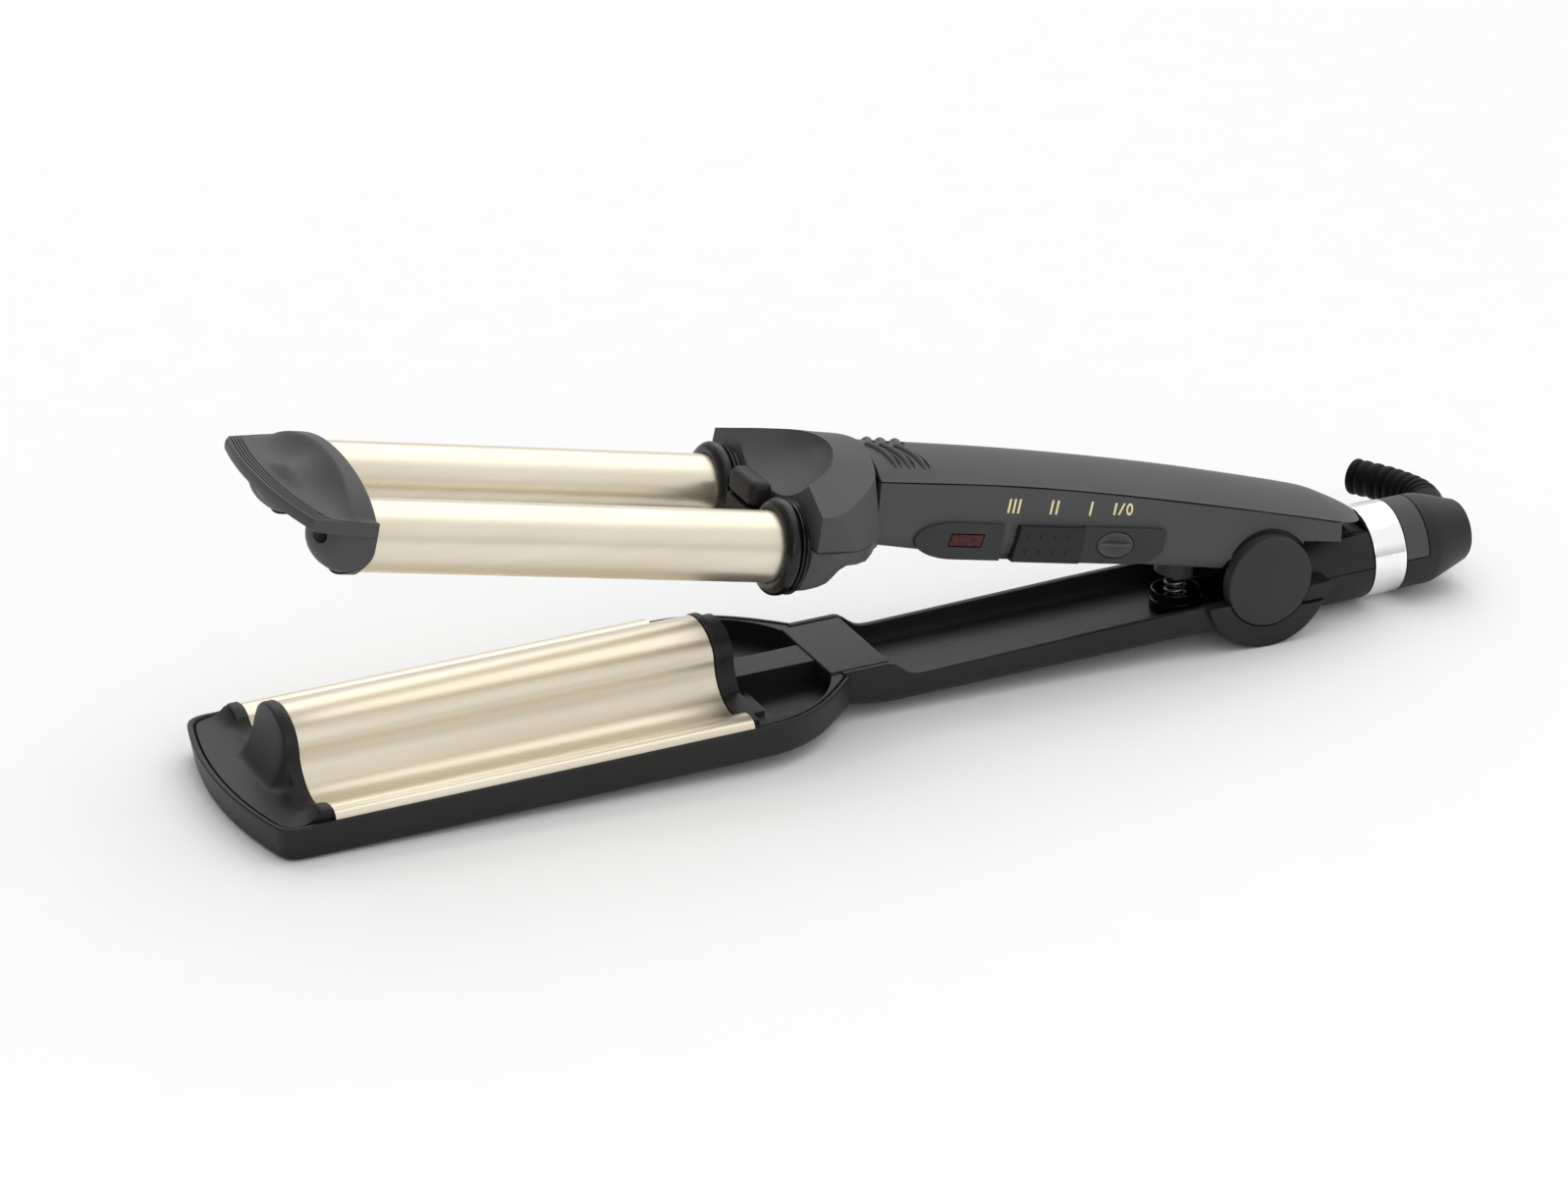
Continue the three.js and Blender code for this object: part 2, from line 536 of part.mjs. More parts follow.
function handleLid() {
  const lid = loft(lidStations.map(lidRing), (p) => new THREE.Vector2(p.y, p.z));
  const pillars = handleScrews.map(([x, y], i) =>
    cut(rodZ(2.8, 30, pillarTop[i], x, y, 14), rodZ(1.5, 20, 34, x, y, 12)),
  );
  return join(lid, ...pillars);
}
// Tub sections: seam height, seam half width, crease height and foot height along X
const tubStations = [
  [handleFront, 42.9, 15.6, 28.9, 25.4],
  [-105, 43, 15.6, 28.7, 24.1],
  [-90, 43.1, 15.6, 28.4, 23.1],
  [-60, 42.2, 15.7, 27.6, 22.5],
  [-28, 40.1, 15.8, 26, 21.6],
  [-8, 38.6, 15.8, 25, 21.3],
  [8, 37.2, 15.7, 25, 21.3],
  [22.4, 35.7, 15.3, 25, 21.3],
];
const tubCrease = 18.2; // half width of the tub at its crease
function tubShell() {
  return loftX(tubStations.map(([x, seam, top, crease, foot]) => {
    const rim = seam - gap;
    const outside = [[0, foot], [15, foot], [16.9, foot + 0.6], [tubCrease, crease], [top, rim]];
    const inside = [[top - wall, rim], [tubCrease - wall, crease], [15.2, foot + wall + 0.8]];
    return { x, half: [...outside, ...inside, [0, foot + wall]] };
  }));
}
const knuckleInner = 10.2;
const knuckleOuter = 13.8;
function handleTub() {
  const shell = cut(
    tubShell(),
    rodY(14.6, -30, 30, 0, hingeHeight, 44),
    block(-11.4, 40, -14.4, 14.4, 15, 34),
    block(-11.4, 40, -30, 30, 15, hingeHeight + 4),
    block(10, 40, -30, 30, 15, 31),
    panelOutline(gap),
  );
  const knuckles = [-1, 1].map((s) => {
    const y0 = s < 0 ? -knuckleOuter : knuckleInner;
    const y1 = y0 + knuckleOuter - knuckleInner;
    return join(rodY(8, y0, y1, 0, hingeHeight), block(-7, 7, y0, y1, hingeHeight, 35.6));
  });
  const bridge = block(-7, 7, -15.4, 15.4, 33.8, 35.6);
  const boss = cut(rodZ(5.4, 14, 22.4, springX, 0, 24), rodZ(4.4, 13, 21.4, springX, 0, 24));
  return cut(
    join(shell, ...knuckles, bridge, boss),
    rodY(3.1, -18, 18, 0, hingeHeight),
    ...handleScrews.map(([x, y], i) => screwBore(x, y, i ? 21.9 : 24.9, 7)),
  );
}

// Controls on the side of the handle
const slotFront = -85.2;
const slotRear = -60.7;
const sliderFront = -82;
const sliderRear = -61;
const buttonX = -50.5;
const buttonZ = 28.5;
const lensX = -96.3;
const lensZ = 28.5;
const lensHalfX = 4.8;
const lensHalfZ = 1.6;
const panelMiddle = 28.4;
function panelOutline(grow) {
  const z0 = panelLow - grow;
  const z1 = panelHigh + grow;
  const x0 = panelFront - grow;
  const x1 = panelRear + grow;
  const above = z1 - panelMiddle;
  const below = panelMiddle - z0;
  const upperFront = arc(x0 + 11, panelMiddle, 11, above, 100, 180, 5);
  const lowerFront = arc(x0 + 11, panelMiddle, 11, below, 190, 270, 5);
  const lowerRear = arc(x1 - 9, panelMiddle, 9, below, 280, 345, 4);
  const top = [[x1, z1 - 1], [x1 - 1, z1], [x0 + 11, z1]];
  const shape = outline([...top, ...upperFront, ...lowerFront, [x1 - 9, z0], ...lowerRear]);
  return alongY(shape, panelFace - (grow ? 3 : 0), -16 + (grow ? 6 : 0));
}
const lensBlock = (grow, y0, y1) =>
  block(
    lensX - lensHalfX - grow,
    lensX + lensHalfX + grow,
    y0,
    y1,
    lensZ - lensHalfZ - grow,
    lensZ + lensHalfZ + grow,
  );
function controlPanel() {
  return cut(
    panelOutline(0),
    block(slotFront, slotRear, -25, -17.4, 20, 40),
    block(slotFront + 5, slotRear - 5, -18, -10, 26, 31),
    ovalY(5.9, 3.9, -25, -10, buttonX, buttonZ),
    lensBlock(gap, -25, -10),
  );
}
function lampLens() {
  return lensBlock(0, -19.3, -16.6);
}
function heatSlider() {
  const front = [[sliderFront, panelHigh], [sliderFront, panelLow + 0.2]];
  const pad = alongY(outline([...front, [sliderRear, panelLow], [sliderRear, panelHigh]]), -20.1, -17.7);
  const stem = block(-73.5, -69.5, -18, -14.6, 27, 30);
  const gripX = [-78, -73.8, -69.6, -65.4];
  const grips = [26, 30.4].flatMap((z) => gripX.map((x) => rodY(0.75, -20.4, -20, x, z, 10)));
  return join(pad, stem, ...grips);
}
function powerButton() {
  const cap = ovalY(5.6, 3.6, -19.5, -16.2, buttonX, buttonZ);
  const dish = solid(new THREE.SphereGeometry(1, 24, 16).scale(8, 3, 5).translate(buttonX, -21, buttonZ));
  const rib = block(buttonX - 5.2, buttonX + 5.2, -19.4, -17.6, buttonZ - 0.7, buttonZ + 0.7);
  return join(cut(cap, dish), rib);
}
function circuitBoard() {
  return block(-106, -38, -13.4, -11.8, 27.5, 37);
}
function plateHeater() {
  return block(-268, -174, -6.6, 6.6, 21.4, 30.4);
}

// Assembly
const lowerArm = new THREE.Group();
lowerArm.add(
  part("lower_arm_shell", lowerShell(), darkBlack),
  part("jaw_nose_insert", noseInsert(), darkBlack),
  part("jaw_rear_insert", rearInsert(), darkBlack),
  part("wave_plate", wavePlate(), gold),
  part("wave_plate_heater", plateHeater(), ceramic),
  part("hinge_pin", hingePin(), steel),
  part("hinge_cap_near", hingeCap(-1), shellBlack),
  part("hinge_cap_far", hingeCap(1), shellBlack),
  part("spring_cup", springCup(), darkBlack),
  part("opening_spring", coilSpring(), steel),
  part("cord_housing_cover", cordCover(), darkBlack),
  part("chrome_ring", chromeRing(), chrome),
  screw("jaw_screw_front", jawScrews[0][0], 0, trayFoot, 5),
  screw("jaw_screw_rear", jawScrews[1][0], 0, trayFoot, 5),
  screw("cord_housing_screw", cordScrewX, 0, footLand, 6),
);

const swivel = new THREE.Group();
const { body: swivelBody, cover: swivelCover } = swivelParts();
swivel.add(
  part("swivel_barrel", swivelBarrel(), darkBlack),
  part("swivel_body", swivelBody, darkBlack),
  part("swivel_cover", swivelCover, shellBlack),
  part("strain_relief", strainRelief(), darkBlack),
);

const upperArm = new THREE.Group();
const sides = { near: -1, far: 1 };
for (const [name, side] of Object.entries(sides))
  upperArm.add(
    part("barrel_" + name, barrel(side), gold),
    part("barrel_heater_" + name, barrelHeater(side), ceramic),
    part("collar_" + name, collar(side), darkBlack),
    part("collar_ring_" + name, collarRing(side), darkBlack),
  );
for (const [x, y] of headScrews)
  upperArm.add(screw(y < 0 ? "head_screw_near" : "head_screw_far", x, y, headScrewFoot, 6));
upperArm.add(
  part("tip_cap_upper", tipCapUpper(), shellBlack),
  part("tip_cap_lower", tipCapLower(), shellBlack),
  part("centre_block_upper", centreBlock(blockSeam + gap, 38.6), darkBlack),
  part("centre_block_lower", centreBlock(22, blockSeam), darkBlack),
  part("head_upper", headUpper(), shellBlack),
  part("head_lower", headLower(), shellBlack),
  part("handle_lid", handleLid(), shellBlack),
  part("handle_tub", handleTub(), shellBlack),
  part("control_panel", controlPanel(), shellBlack),
  part("lamp_lens", lampLens(), redLens),
  part("circuit_board", circuitBoard(), boardGreen),
  screw("handle_screw_front", handleScrews[0][0], 0, 24.9, 7),
  screw("handle_screw_rear", handleScrews[1][0], 0, 21.9, 7),
  part("heat_slider", heatSlider(), darkBlack),
  part("power_button", powerButton(), shellBlack),
);

// The upper arm swings about the hinge, and the whole tool leans on its nose and its drum
upperArm.position.z = -hingeHeight;
const hinge = new THREE.Group();
hinge.position.z = hingeHeight;
hinge.rotation.y = degrees(openAngle);
hinge.add(upperArm);
const waver = new THREE.Group();
waver.add(lowerArm, swivel, hinge);
waver.rotation.y = -degrees(restPitch);
waver.position.z = -footLand;

const root = new THREE.Group();
root.add(waver);
export default root;
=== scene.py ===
# A hair waver: gold barrels on a charcoal handle, over a wave-shaped gold plate on a black lower arm.
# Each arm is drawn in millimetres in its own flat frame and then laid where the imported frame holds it.
import json
from math import asin, cos, exp, pi, radians, sin, sqrt

import bmesh
import bpy
from mathutils import Matrix, Vector


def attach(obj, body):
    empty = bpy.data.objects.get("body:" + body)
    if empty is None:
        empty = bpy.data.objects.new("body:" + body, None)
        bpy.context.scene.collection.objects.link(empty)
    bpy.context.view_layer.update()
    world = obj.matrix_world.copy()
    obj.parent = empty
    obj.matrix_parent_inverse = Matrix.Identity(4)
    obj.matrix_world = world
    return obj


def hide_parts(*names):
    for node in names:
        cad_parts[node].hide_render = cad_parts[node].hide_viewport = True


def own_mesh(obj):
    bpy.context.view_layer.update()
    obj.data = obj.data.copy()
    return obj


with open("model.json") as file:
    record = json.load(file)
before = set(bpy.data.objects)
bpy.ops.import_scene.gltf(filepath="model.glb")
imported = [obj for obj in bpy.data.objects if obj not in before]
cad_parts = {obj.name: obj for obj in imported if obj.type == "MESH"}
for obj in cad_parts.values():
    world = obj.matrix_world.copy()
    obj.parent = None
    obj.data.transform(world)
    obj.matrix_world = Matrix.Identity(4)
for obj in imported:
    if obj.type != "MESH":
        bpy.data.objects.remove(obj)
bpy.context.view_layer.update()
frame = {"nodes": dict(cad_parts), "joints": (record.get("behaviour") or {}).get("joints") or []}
print("frame loaded:", len(frame["nodes"]), "nodes")

joints = {joint["name"]: joint for joint in frame["joints"]}
hingeHeight = 19.6  # hinge pin above the foot of the drum, mm
hingePoint = Vector(joints["jaw_hinge"]["pos_m"])


# An arm's own millimetre frame, turned so that its X runs along a direction and its hinge sits on the pin
def armFrame(along):
    xAxis = Vector(along).normalized()
    yAxis = Vector((0, 1, 0))
    turn = Matrix((xAxis, yAxis, xAxis.cross(yAxis))).transposed().to_4x4()
    return Matrix.Translation(hingePoint) @ turn @ Matrix.Scale(0.001, 4) @ Matrix.Translation((0, 0, -hingeHeight))


lowerArm = armFrame(joints["cord_turn"]["axis"])
upperArm = armFrame(joints["heat_slide"]["axis"])


# Mesh helpers
def addObject(name, data):
    made = bpy.data.objects.new(name, data)
    bpy.context.scene.collection.objects.link(made)
    return made


def newPiece(name, verts, faces):
    mesh = bpy.data.meshes.new(name)
    mesh.from_pydata([tuple(v) for v in verts], [], faces)
    work = bmesh.new()
    work.from_mesh(mesh)
    bmesh.ops.remove_doubles(work, verts=work.verts, dist=0.0008)
    bmesh.ops.recalc_face_normals(work, faces=work.faces)
    work.to_mesh(mesh)
    work.free()
    return addObject(name, mesh)


# A closed skin through rings that hold the same number of points
def skinRings(name, rings, capEnds=True, loop=False):
    count = len(rings[0])
    verts = [p for ring in rings for p in ring]
    faces = []
    last = len(rings) if loop else len(rings) - 1
    for i in range(last):
        a, b = i * count, ((i + 1) % len(rings)) * count
        for j in range(count):
            k = (j + 1) % count
            faces.append((a + j, a + k, b + k, b + j))
    if capEnds and not loop:
        faces.append(tuple(range(count)))
        faces.append(tuple(range((len(rings) - 1) * count, len(rings) * count)))
    return newPiece(name, verts, faces)


# A half section of points (y, z), from the middle round to the middle, with its mirror image
def mirrored(half):
    return half + [(-y, z) for y, z in reversed(half[1:-1])]


# A closed outline in two axes, raised along the third between two levels
def raised(name, outline, low, high, along):
    def spot(a, b, level):
        return {"X": (level, a, b), "Y": (a, level, b), "Z": (a, b, level)}[along]

    return skinRings(name, [[spot(a, b, level) for a, b in outline] for level in (low, high)])


# A closed (radius, along) profile turned about a line through centre, parallel to X, Y or Z
def turned(name, profile, centre, along="X", steps=72):
    rings = []
    for radius, level in profile:
        ring = []
        for i in range(steps):
            a, b = radius * cos(2 * pi * i / steps), radius * sin(2 * pi * i / steps)
            spot = {"X": (level, a, b), "Y": (a, level, b), "Z": (a, b, level)}[along]
            ring.append(Vector(centre) + Vector(spot))
        rings.append(ring)
    return skinRings(name, rings, loop=True)


def box(name, x0, x1, y0, y1, z0, z1):
    return raised(name, [(x0, y0), (x1, y0), (x1, y1), (x0, y1)], z0, z1, "Z")


def rod(name, radius, low, high, centre, along="Y", steps=48):
    tiny = 0.001
    return turned(name, [(tiny, low), (radius, low), (radius, high), (tiny, high)], centre, along, steps)


def arcPoints(centreA, centreB, radiusA, radiusB, start, end, steps):
    return [(centreA + radiusA * cos(radians(start + (end - start) * i / steps)),
             centreB + radiusB * sin(radians(start + (end - start) * i / steps))) for i in range(steps + 1)]


def bezier(a, b, c, d, steps):
    points = []
    for i in range(steps + 1):
        t = i / steps
        weights = ((1 - t) ** 3, 3 * t * (1 - t) ** 2, 3 * t * t * (1 - t), t ** 3)
        points.append(tuple(sum(w * p[k] for w, p in zip(weights, (a, b, c, d))) for k in range(len(a))))
    return points


# Smooth in-between rows of a list of rows of numbers, the given count for each pair
def smoothRows(rows, steps):
    padded = [rows[0]] + rows + [rows[-1]]
    out = []
    for k in range(len(rows) - 1):
        for i in range(steps):
            t = i / steps
            row = []
            for p0, p1, p2, p3 in zip(*padded[k:k + 4]):
                bend = (2 * p0 - 5 * p1 + 4 * p2 - p3) * t * t + (3 * p1 - p0 - 3 * p2 + p3) * t ** 3
                row.append(0.5 * (2 * p1 + (p2 - p0) * t + bend))
            out.append(tuple(row))
    return out + [tuple(rows[-1])]


def between(a, b, t):
    return a + (b - a) * t


def easeStep(t):
    t = min(1, max(0, t))
    return t * t * (3 - 2 * t)


# The numbers at one place along X, read off a list of rows that each start with their place
def rowAt(rows, x):
    for a, b in zip(rows, rows[1:]):
        if x <= b[0]:
            t = max(0, (x - a[0]) / (b[0] - a[0]))
            return [between(p, q, t) for p, q in zip(a[1:], b[1:])]
    return rows[-1][1:]


def applyModifiers(piece):
    bpy.context.view_layer.update()
    graph = bpy.context.evaluated_depsgraph_get()
    fresh = bpy.data.meshes.new_from_object(piece.evaluated_get(graph))
    piece.modifiers.clear()
    old = piece.data
    piece.data = fresh
    bpy.data.meshes.remove(old)
    return piece


def combine(piece, *others, operation="DIFFERENCE"):
    for other in others:
        step = piece.modifiers.new("shape", "BOOLEAN")
        step.operation = operation
        step.solver = "MANIFOLD"
        step.object = other
        applyModifiers(piece)
        bpy.data.objects.remove(other)
    return piece


def joinPieces(piece, *others):
    work = bmesh.new()
    work.from_mesh(piece.data)
    for other in others:
        work.from_mesh(other.data)
        bpy.data.objects.remove(other)
    work.to_mesh(piece.data)
    work.free()
    return piece


# Rounds the hard edges, as a moulded piece has
def soften(piece, width, segments=2, limit=32):
    step = piece.modifiers.new("soft edges", "BEVEL")
    step.width = width
    step.segments = segments
    step.limit_method = "ANGLE"
    step.angle_limit = radians(limit)
    step.use_clamp_overlap = True
    return applyModifiers(piece)


# Lays a piece on its arm, smooths it, gives it its finish and hides the frame parts it stands for
def fit(piece, arm, body, material, slotName, nodes=(), crease=34):
    first, *rest = piece.name.split()
    piece.name = first + "".join(word.capitalize() for word in rest)
    piece.data.transform(arm)
    piece.data.shade_smooth()
    piece.data.set_sharp_from_angle(angle=radians(crease))
    step = piece.modifiers.new("even shading", "WEIGHTED_NORMAL")
    step.keep_sharp = True
    applyModifiers(piece)
    piece.data.materials.clear()
    piece.data.materials.append(material)
    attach(piece, body)
    if nodes:
        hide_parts(*nodes)
    return piece


# Finishes
def startMaterial(name):
    material = bpy.data.materials.new(name)
    material.use_nodes = True
    nodes, links = material.node_tree.nodes, material.node_tree.links
    shader = nodes["Principled BSDF"]
    place = nodes.new("ShaderNodeTexCoord")
    return material, nodes, links, shader, place


def noise(nodes, links, vector, scale, detail=2.0, stretch=None):
    if stretch:
        mapping = nodes.new("ShaderNodeMapping")
        mapping.inputs["Scale"].default_value = stretch
        links.new(vector, mapping.inputs["Vector"])
        vector = mapping.outputs["Vector"]
    texture = nodes.new("ShaderNodeTexNoise")
    texture.inputs["Scale"].default_value = scale
    texture.inputs["Detail"].default_value = detail
    links.new(vector, texture.inputs["Vector"])
    return texture.outputs["Fac"]


def spread(nodes, links, value, low, high):
    ranged = nodes.new("ShaderNodeMapRange")
    ranged.inputs["From Min"].default_value = 0.3
    ranged.inputs["From Max"].default_value = 0.7
    ranged.inputs["To Min"].default_value = low
    ranged.inputs["To Max"].default_value = high
    links.new(value, ranged.inputs["Value"])
    return ranged.outputs["Result"]


def twoTone(nodes, links, value, dark, light):
    ramp = nodes.new("ShaderNodeValToRGB")
    ramp.color_ramp.elements[0].position = 0.32
    ramp.color_ramp.elements[0].color = (*dark, 1)
    ramp.color_ramp.elements[1].position = 0.68
    ramp.color_ramp.elements[1].color = (*light, 1)
    links.new(value, ramp.inputs["Fac"])
    return ramp.outputs["Color"]


def bumped(nodes, links, value, depth, strength):
    bump = nodes.new("ShaderNodeBump")
    bump.inputs["Distance"].default_value = depth
    bump.inputs["Strength"].default_value = strength
    links.new(value, bump.inputs["Height"])
    return bump.outputs["Normal"]


# Moulded plastic: fine spark-eroded grain, a soft sheen and faint flow marks
def satinPlastic(name, look):
    material, nodes, links, shader, place = startMaterial(name)
    spot = place.outputs["Object"]
    grain = noise(nodes, links, spot, look["grain"], 3)
    flow = noise(nodes, links, spot, 26, 2)
    links.new(twoTone(nodes, links, flow, look["dark"], look["light"]), shader.inputs["Base Color"])
    rough = look["roughness"]
    links.new(spread(nodes, links, grain, rough - 0.05, rough + 0.06), shader.inputs["Roughness"])
    links.new(bumped(nodes, links, grain, look["grainDepth"], 0.5), shader.inputs["Normal"])
    shader.inputs["Specular IOR Level"].default_value = look["specular"]
    shader.inputs["Sheen Weight"].default_value = look["sheen"]
    shader.inputs["Sheen Roughness"].default_value = 0.5
    return material


handleLook = {"dark": (0.068, 0.068, 0.069), "light": (0.076, 0.076, 0.077), "roughness": 0.46,
              "grain": 2600, "grainDepth": 0.00004, "specular": 0.16, "sheen": 0.02}
panelLook = {"dark": (0.036, 0.036, 0.037), "light": (0.042, 0.042, 0.043), "roughness": 0.46,
             "grain": 2400, "grainDepth": 0.00004, "specular": 0.16, "sheen": 0.0}
jawLook = {"dark": (0.010, 0.010, 0.010), "light": (0.013, 0.013, 0.013), "roughness": 0.44,
           "grain": 2200, "grainDepth": 0.00004, "specular": 0.3, "sheen": 0.01}
glossLook = {"dark": (0.0025, 0.0025, 0.0027), "light": (0.004, 0.004, 0.0042), "roughness": 0.24,
             "grain": 1500, "grainDepth": 0.00001, "specular": 0.36, "sheen": 0.0}
rubberLook = {"dark": (0.0015, 0.0015, 0.0015), "light": (0.003, 0.003, 0.003), "roughness": 0.5,
              "grain": 1800, "grainDepth": 0.00006, "specular": 0.12, "sheen": 0.0}
charcoalPlastic = satinPlastic("charcoal handle plastic", handleLook)
jawPlastic = satinPlastic("black jaw plastic", jawLook)
panelPlastic = satinPlastic("black panel plastic", panelLook)
smoothPlastic = satinPlastic("smooth black plastic", glossLook)
cordRubber = satinPlastic("strain relief rubber", rubberLook)


# Sprayed ceramic over aluminium: pearly flakes, faint streaks along the tool
def champagneCoating(name, look):
    material, nodes, links, shader, place = startMaterial(name)
    spot = place.outputs["Object"]
    flakes = noise(nodes, links, spot, 5200, 2)
    streaks = noise(nodes, links, spot, 240, 3, stretch=(0.06, 1, 1))
    links.new(twoTone(nodes, links, streaks, look["dark"], look["light"]), shader.inputs["Base Color"])
    rough = look["roughness"]
    links.new(spread(nodes, links, flakes, rough - 0.03, rough + 0.05), shader.inputs["Roughness"])
    links.new(bumped(nodes, links, flakes, 0.000012, 0.35), shader.inputs["Normal"])
    shader.inputs["Metallic"].default_value = look["metallic"]
    shader.inputs["Coat Weight"].default_value = 0.25
    shader.inputs["Coat Roughness"].default_value = 0.18
    return material


barrelLook = {"dark": (0.74, 0.67, 0.53), "light": (0.79, 0.72, 0.585), "roughness": 0.30, "metallic": 0.82}
plateLook = {"dark": (0.73, 0.66, 0.52), "light": (0.79, 0.72, 0.58), "roughness": 0.33, "metallic": 0.82}
barrelGold = champagneCoating("champagne barrel coating", barrelLook)
plateGold = champagneCoating("champagne plate coating", plateLook)


# Metals: chrome plate, zinc-plated steel and raw aluminium
def metalFinish(name, look):
    material, nodes, links, shader, place = startMaterial(name)
    marks = noise(nodes, links, place.outputs["Object"], look["scale"], 3, stretch=look["stretch"])
    links.new(twoTone(nodes, links, marks, look["dark"], look["light"]), shader.inputs["Base Color"])
    links.new(spread(nodes, links, marks, look["roughness"], look["roughness"] * 1.6), shader.inputs["Roughness"])
    links.new(bumped(nodes, links, marks, look["depth"], 0.3), shader.inputs["Normal"])
    shader.inputs["Metallic"].default_value = 1.0
    return material


chromePlate = metalFinish("chrome ring plating", {
    "scale": 900, "stretch": (1, 0.2, 0.2), "dark": (0.93, 0.93, 0.94), "light": (0.97, 0.97, 0.97),
    "roughness": 0.06, "depth": 0.000004})
zincSteel = metalFinish("zinc plated steel", {
    "scale": 1600, "stretch": (1, 1, 1), "dark": (0.16, 0.16, 0.165), "light": (0.26, 0.26, 0.27),
    "roughness": 0.28, "depth": 0.00001})
heaterMetal = metalFinish("wrapped heater aluminium", {
    "scale": 700, "stretch": (0.2, 1, 1), "dark": (0.55, 0.50, 0.42), "light": (0.66, 0.62, 0.55),
    "roughness": 0.4, "depth": 0.00002})


# Lamp window: clear dark red with a prismatic back
def lampWindow():
    material, nodes, links, shader, place = startMaterial("dark red lamp window")
    cells = nodes.new("ShaderNodeTexVoronoi")
    cells.inputs["Scale"].default_value = 900
    links.new(place.outputs["Object"], cells.inputs["Vector"])
    links.new(twoTone(nodes, links, cells.outputs["Distance"], (0.030, 0.002, 0.003), (0.075, 0.005, 0.008)),
              shader.inputs["Base Color"])
    links.new(bumped(nodes, links, cells.outputs["Distance"], 0.00005, 0.5), shader.inputs["Normal"])
    shader.inputs["Roughness"].default_value = 0.16
    shader.inputs["Specular IOR Level"].default_value = 0.3
    return material


# Printed marks: pale gold ink with a faint unevenness
def markInk():
    material, nodes, links, shader, place = startMaterial("pale gold ink")
    blots = noise(nodes, links, place.outputs["Object"], 4000, 2)
    links.new(twoTone(nodes, links, blots, (0.72, 0.62, 0.30), (0.90, 0.82, 0.50)), shader.inputs["Base Color"])
    links.new(spread(nodes, links, blots, 0.35, 0.5), shader.inputs["Roughness"])
    shader.inputs["Metallic"].default_value = 0.25
    return material


# Circuit board: green solder mask with faint copper tracks
def boardMask():
    material, nodes, links, shader, place = startMaterial("green solder mask")
    tracks = nodes.new("ShaderNodeTexBrick")
    tracks.inputs["Scale"].default_value = 160
    tracks.inputs["Color1"].default_value = (0.02, 0.11, 0.05, 1)
    tracks.inputs["Color2"].default_value = (0.025, 0.14, 0.06, 1)
    tracks.inputs["Mortar"].default_value = (0.06, 0.22, 0.10, 1)
    links.new(place.outputs["Object"], tracks.inputs["Vector"])
    links.new(tracks.outputs["Color"], shader.inputs["Base Color"])
    shader.inputs["Roughness"].default_value = 0.35
    return material


redWindow = lampWindow()
goldInk = markInk()
solderMask = boardMask()
print("finishes made")

# Lower arm: tray, channel and drum
tray = {"nose": -299.4, "noseRadius": 130, "half": 38.4, "cornerY": 33.2, "rim": 17.95, "foot": 8.17,
        "shoulder": -160, "neck": -126, "neckHalf": 18.63, "wall": 2.0}


# Plan of the jaw tray, moved in by the inset, as points (x, y)
def trayOutline(inset):
    nose, side, radius = tray["nose"] + inset, tray["half"] - inset, tray["noseRadius"]
    corner = tray["cornerY"] - inset * 0.6
    half = [(nose + radius - sqrt(radius ** 2 - y * y), y) for y in (corner * i / 12 for i in range(13))]
    start = half[-1]
    half += bezier(start, (start[0] + 1.0, between(start[1], side, 0.78)),
                   (start[0] + 2.6, side), (start[0] + 7.5, side), 8)[1:]
    half += [(between(start[0] + 7.5, tray["shoulder"], i / 10), side) for i in range(1, 11)]
    half += bezier((tray["shoulder"], side), (-146, side), (-137 - inset, 31 - inset * 0.3),
                   (tray["neck"], tray["neckHalf"] - inset), 18)[1:]
    return half + [(x, -y) for x, y in reversed(half[1:])]


def trayRings(levels):
    return [[(x, y, z) for x, y in trayOutline(inset)] for inset, z in levels]


def makeTray():
    rim, foot = tray["rim"], tray["foot"]
    outside = [(3.2, foot), (2.2, foot + 0.15), (1.5, foot + 0.8), (1.2, foot + 1.8), (0.35, rim - 2.2)]
    lip = [(0.1, rim - 1.0), (0.15, rim - 0.45), (0.45, rim - 0.1), (0.9, rim), (1.4, rim - 0.08), (1.75, rim - 0.4)]
    inside = [(1.95, rim - 1.0), (2.3, foot + 4), (3.0, foot + 2)]
    shell = skinRings("tray", trayRings(outside + lip + inside))
    gate = tray["neckHalf"] - tray["wall"]
    return combine(shell, box("neck gate", tray["neck"] - 9, tray["neck"] + 4, -gate, gate, 8.2, 30))


def channelSection(x, low, top):
    wall, outer = tray["wall"], tray["neckHalf"]
    inner = outer - wall
    outside = [(0, low), (14.4, low), (16.4, low + 0.3), (17.8, low + 1.2), (18.45, low + 2.6), (outer, low + 4.4)]
    rim = [(outer, top - 0.6), (outer - 0.14, top - 0.2), (outer - 0.45, top)]
    rim += [(inner + 0.45, top), (inner + 0.14, top - 0.2), (inner, top - 0.6)]
    inside = [(inner, low + 4.6), (inner - 0.5, low + 2.9), (inner - 1.9, low + 2.1), (0, low + 2)]
    half = outside + rim + inside
    return [(x, y, z) for y, z in mirrored(half)]


def makeChannel():
    lows = [(-128, 8.17), (-116, 6.2), (-8, 6.2)]
    tops = [(-128, 18.4), (-114.6, 18.4), (-113.2, 18.05), (-111.6, 17), (-110, 15.6), (-108.4, 14.5)]
    tops += [(-106.6, 13.95), (-104, 13.8), (-43, 14.9), (-8, 15.2)]
    places = [-128, -122, -116] + [x for x, _ in tops[1:-1]] + [-80, -60, -20, -8.4]
    return skinRings("channel", [channelSection(x, *rowAt(lows, x), *rowAt(tops, x)) for x in sorted(places)])


drum = {"radius": 19.57, "half": 20.67, "top": 15.0, "capRadius": 12.87, "wall": 2}


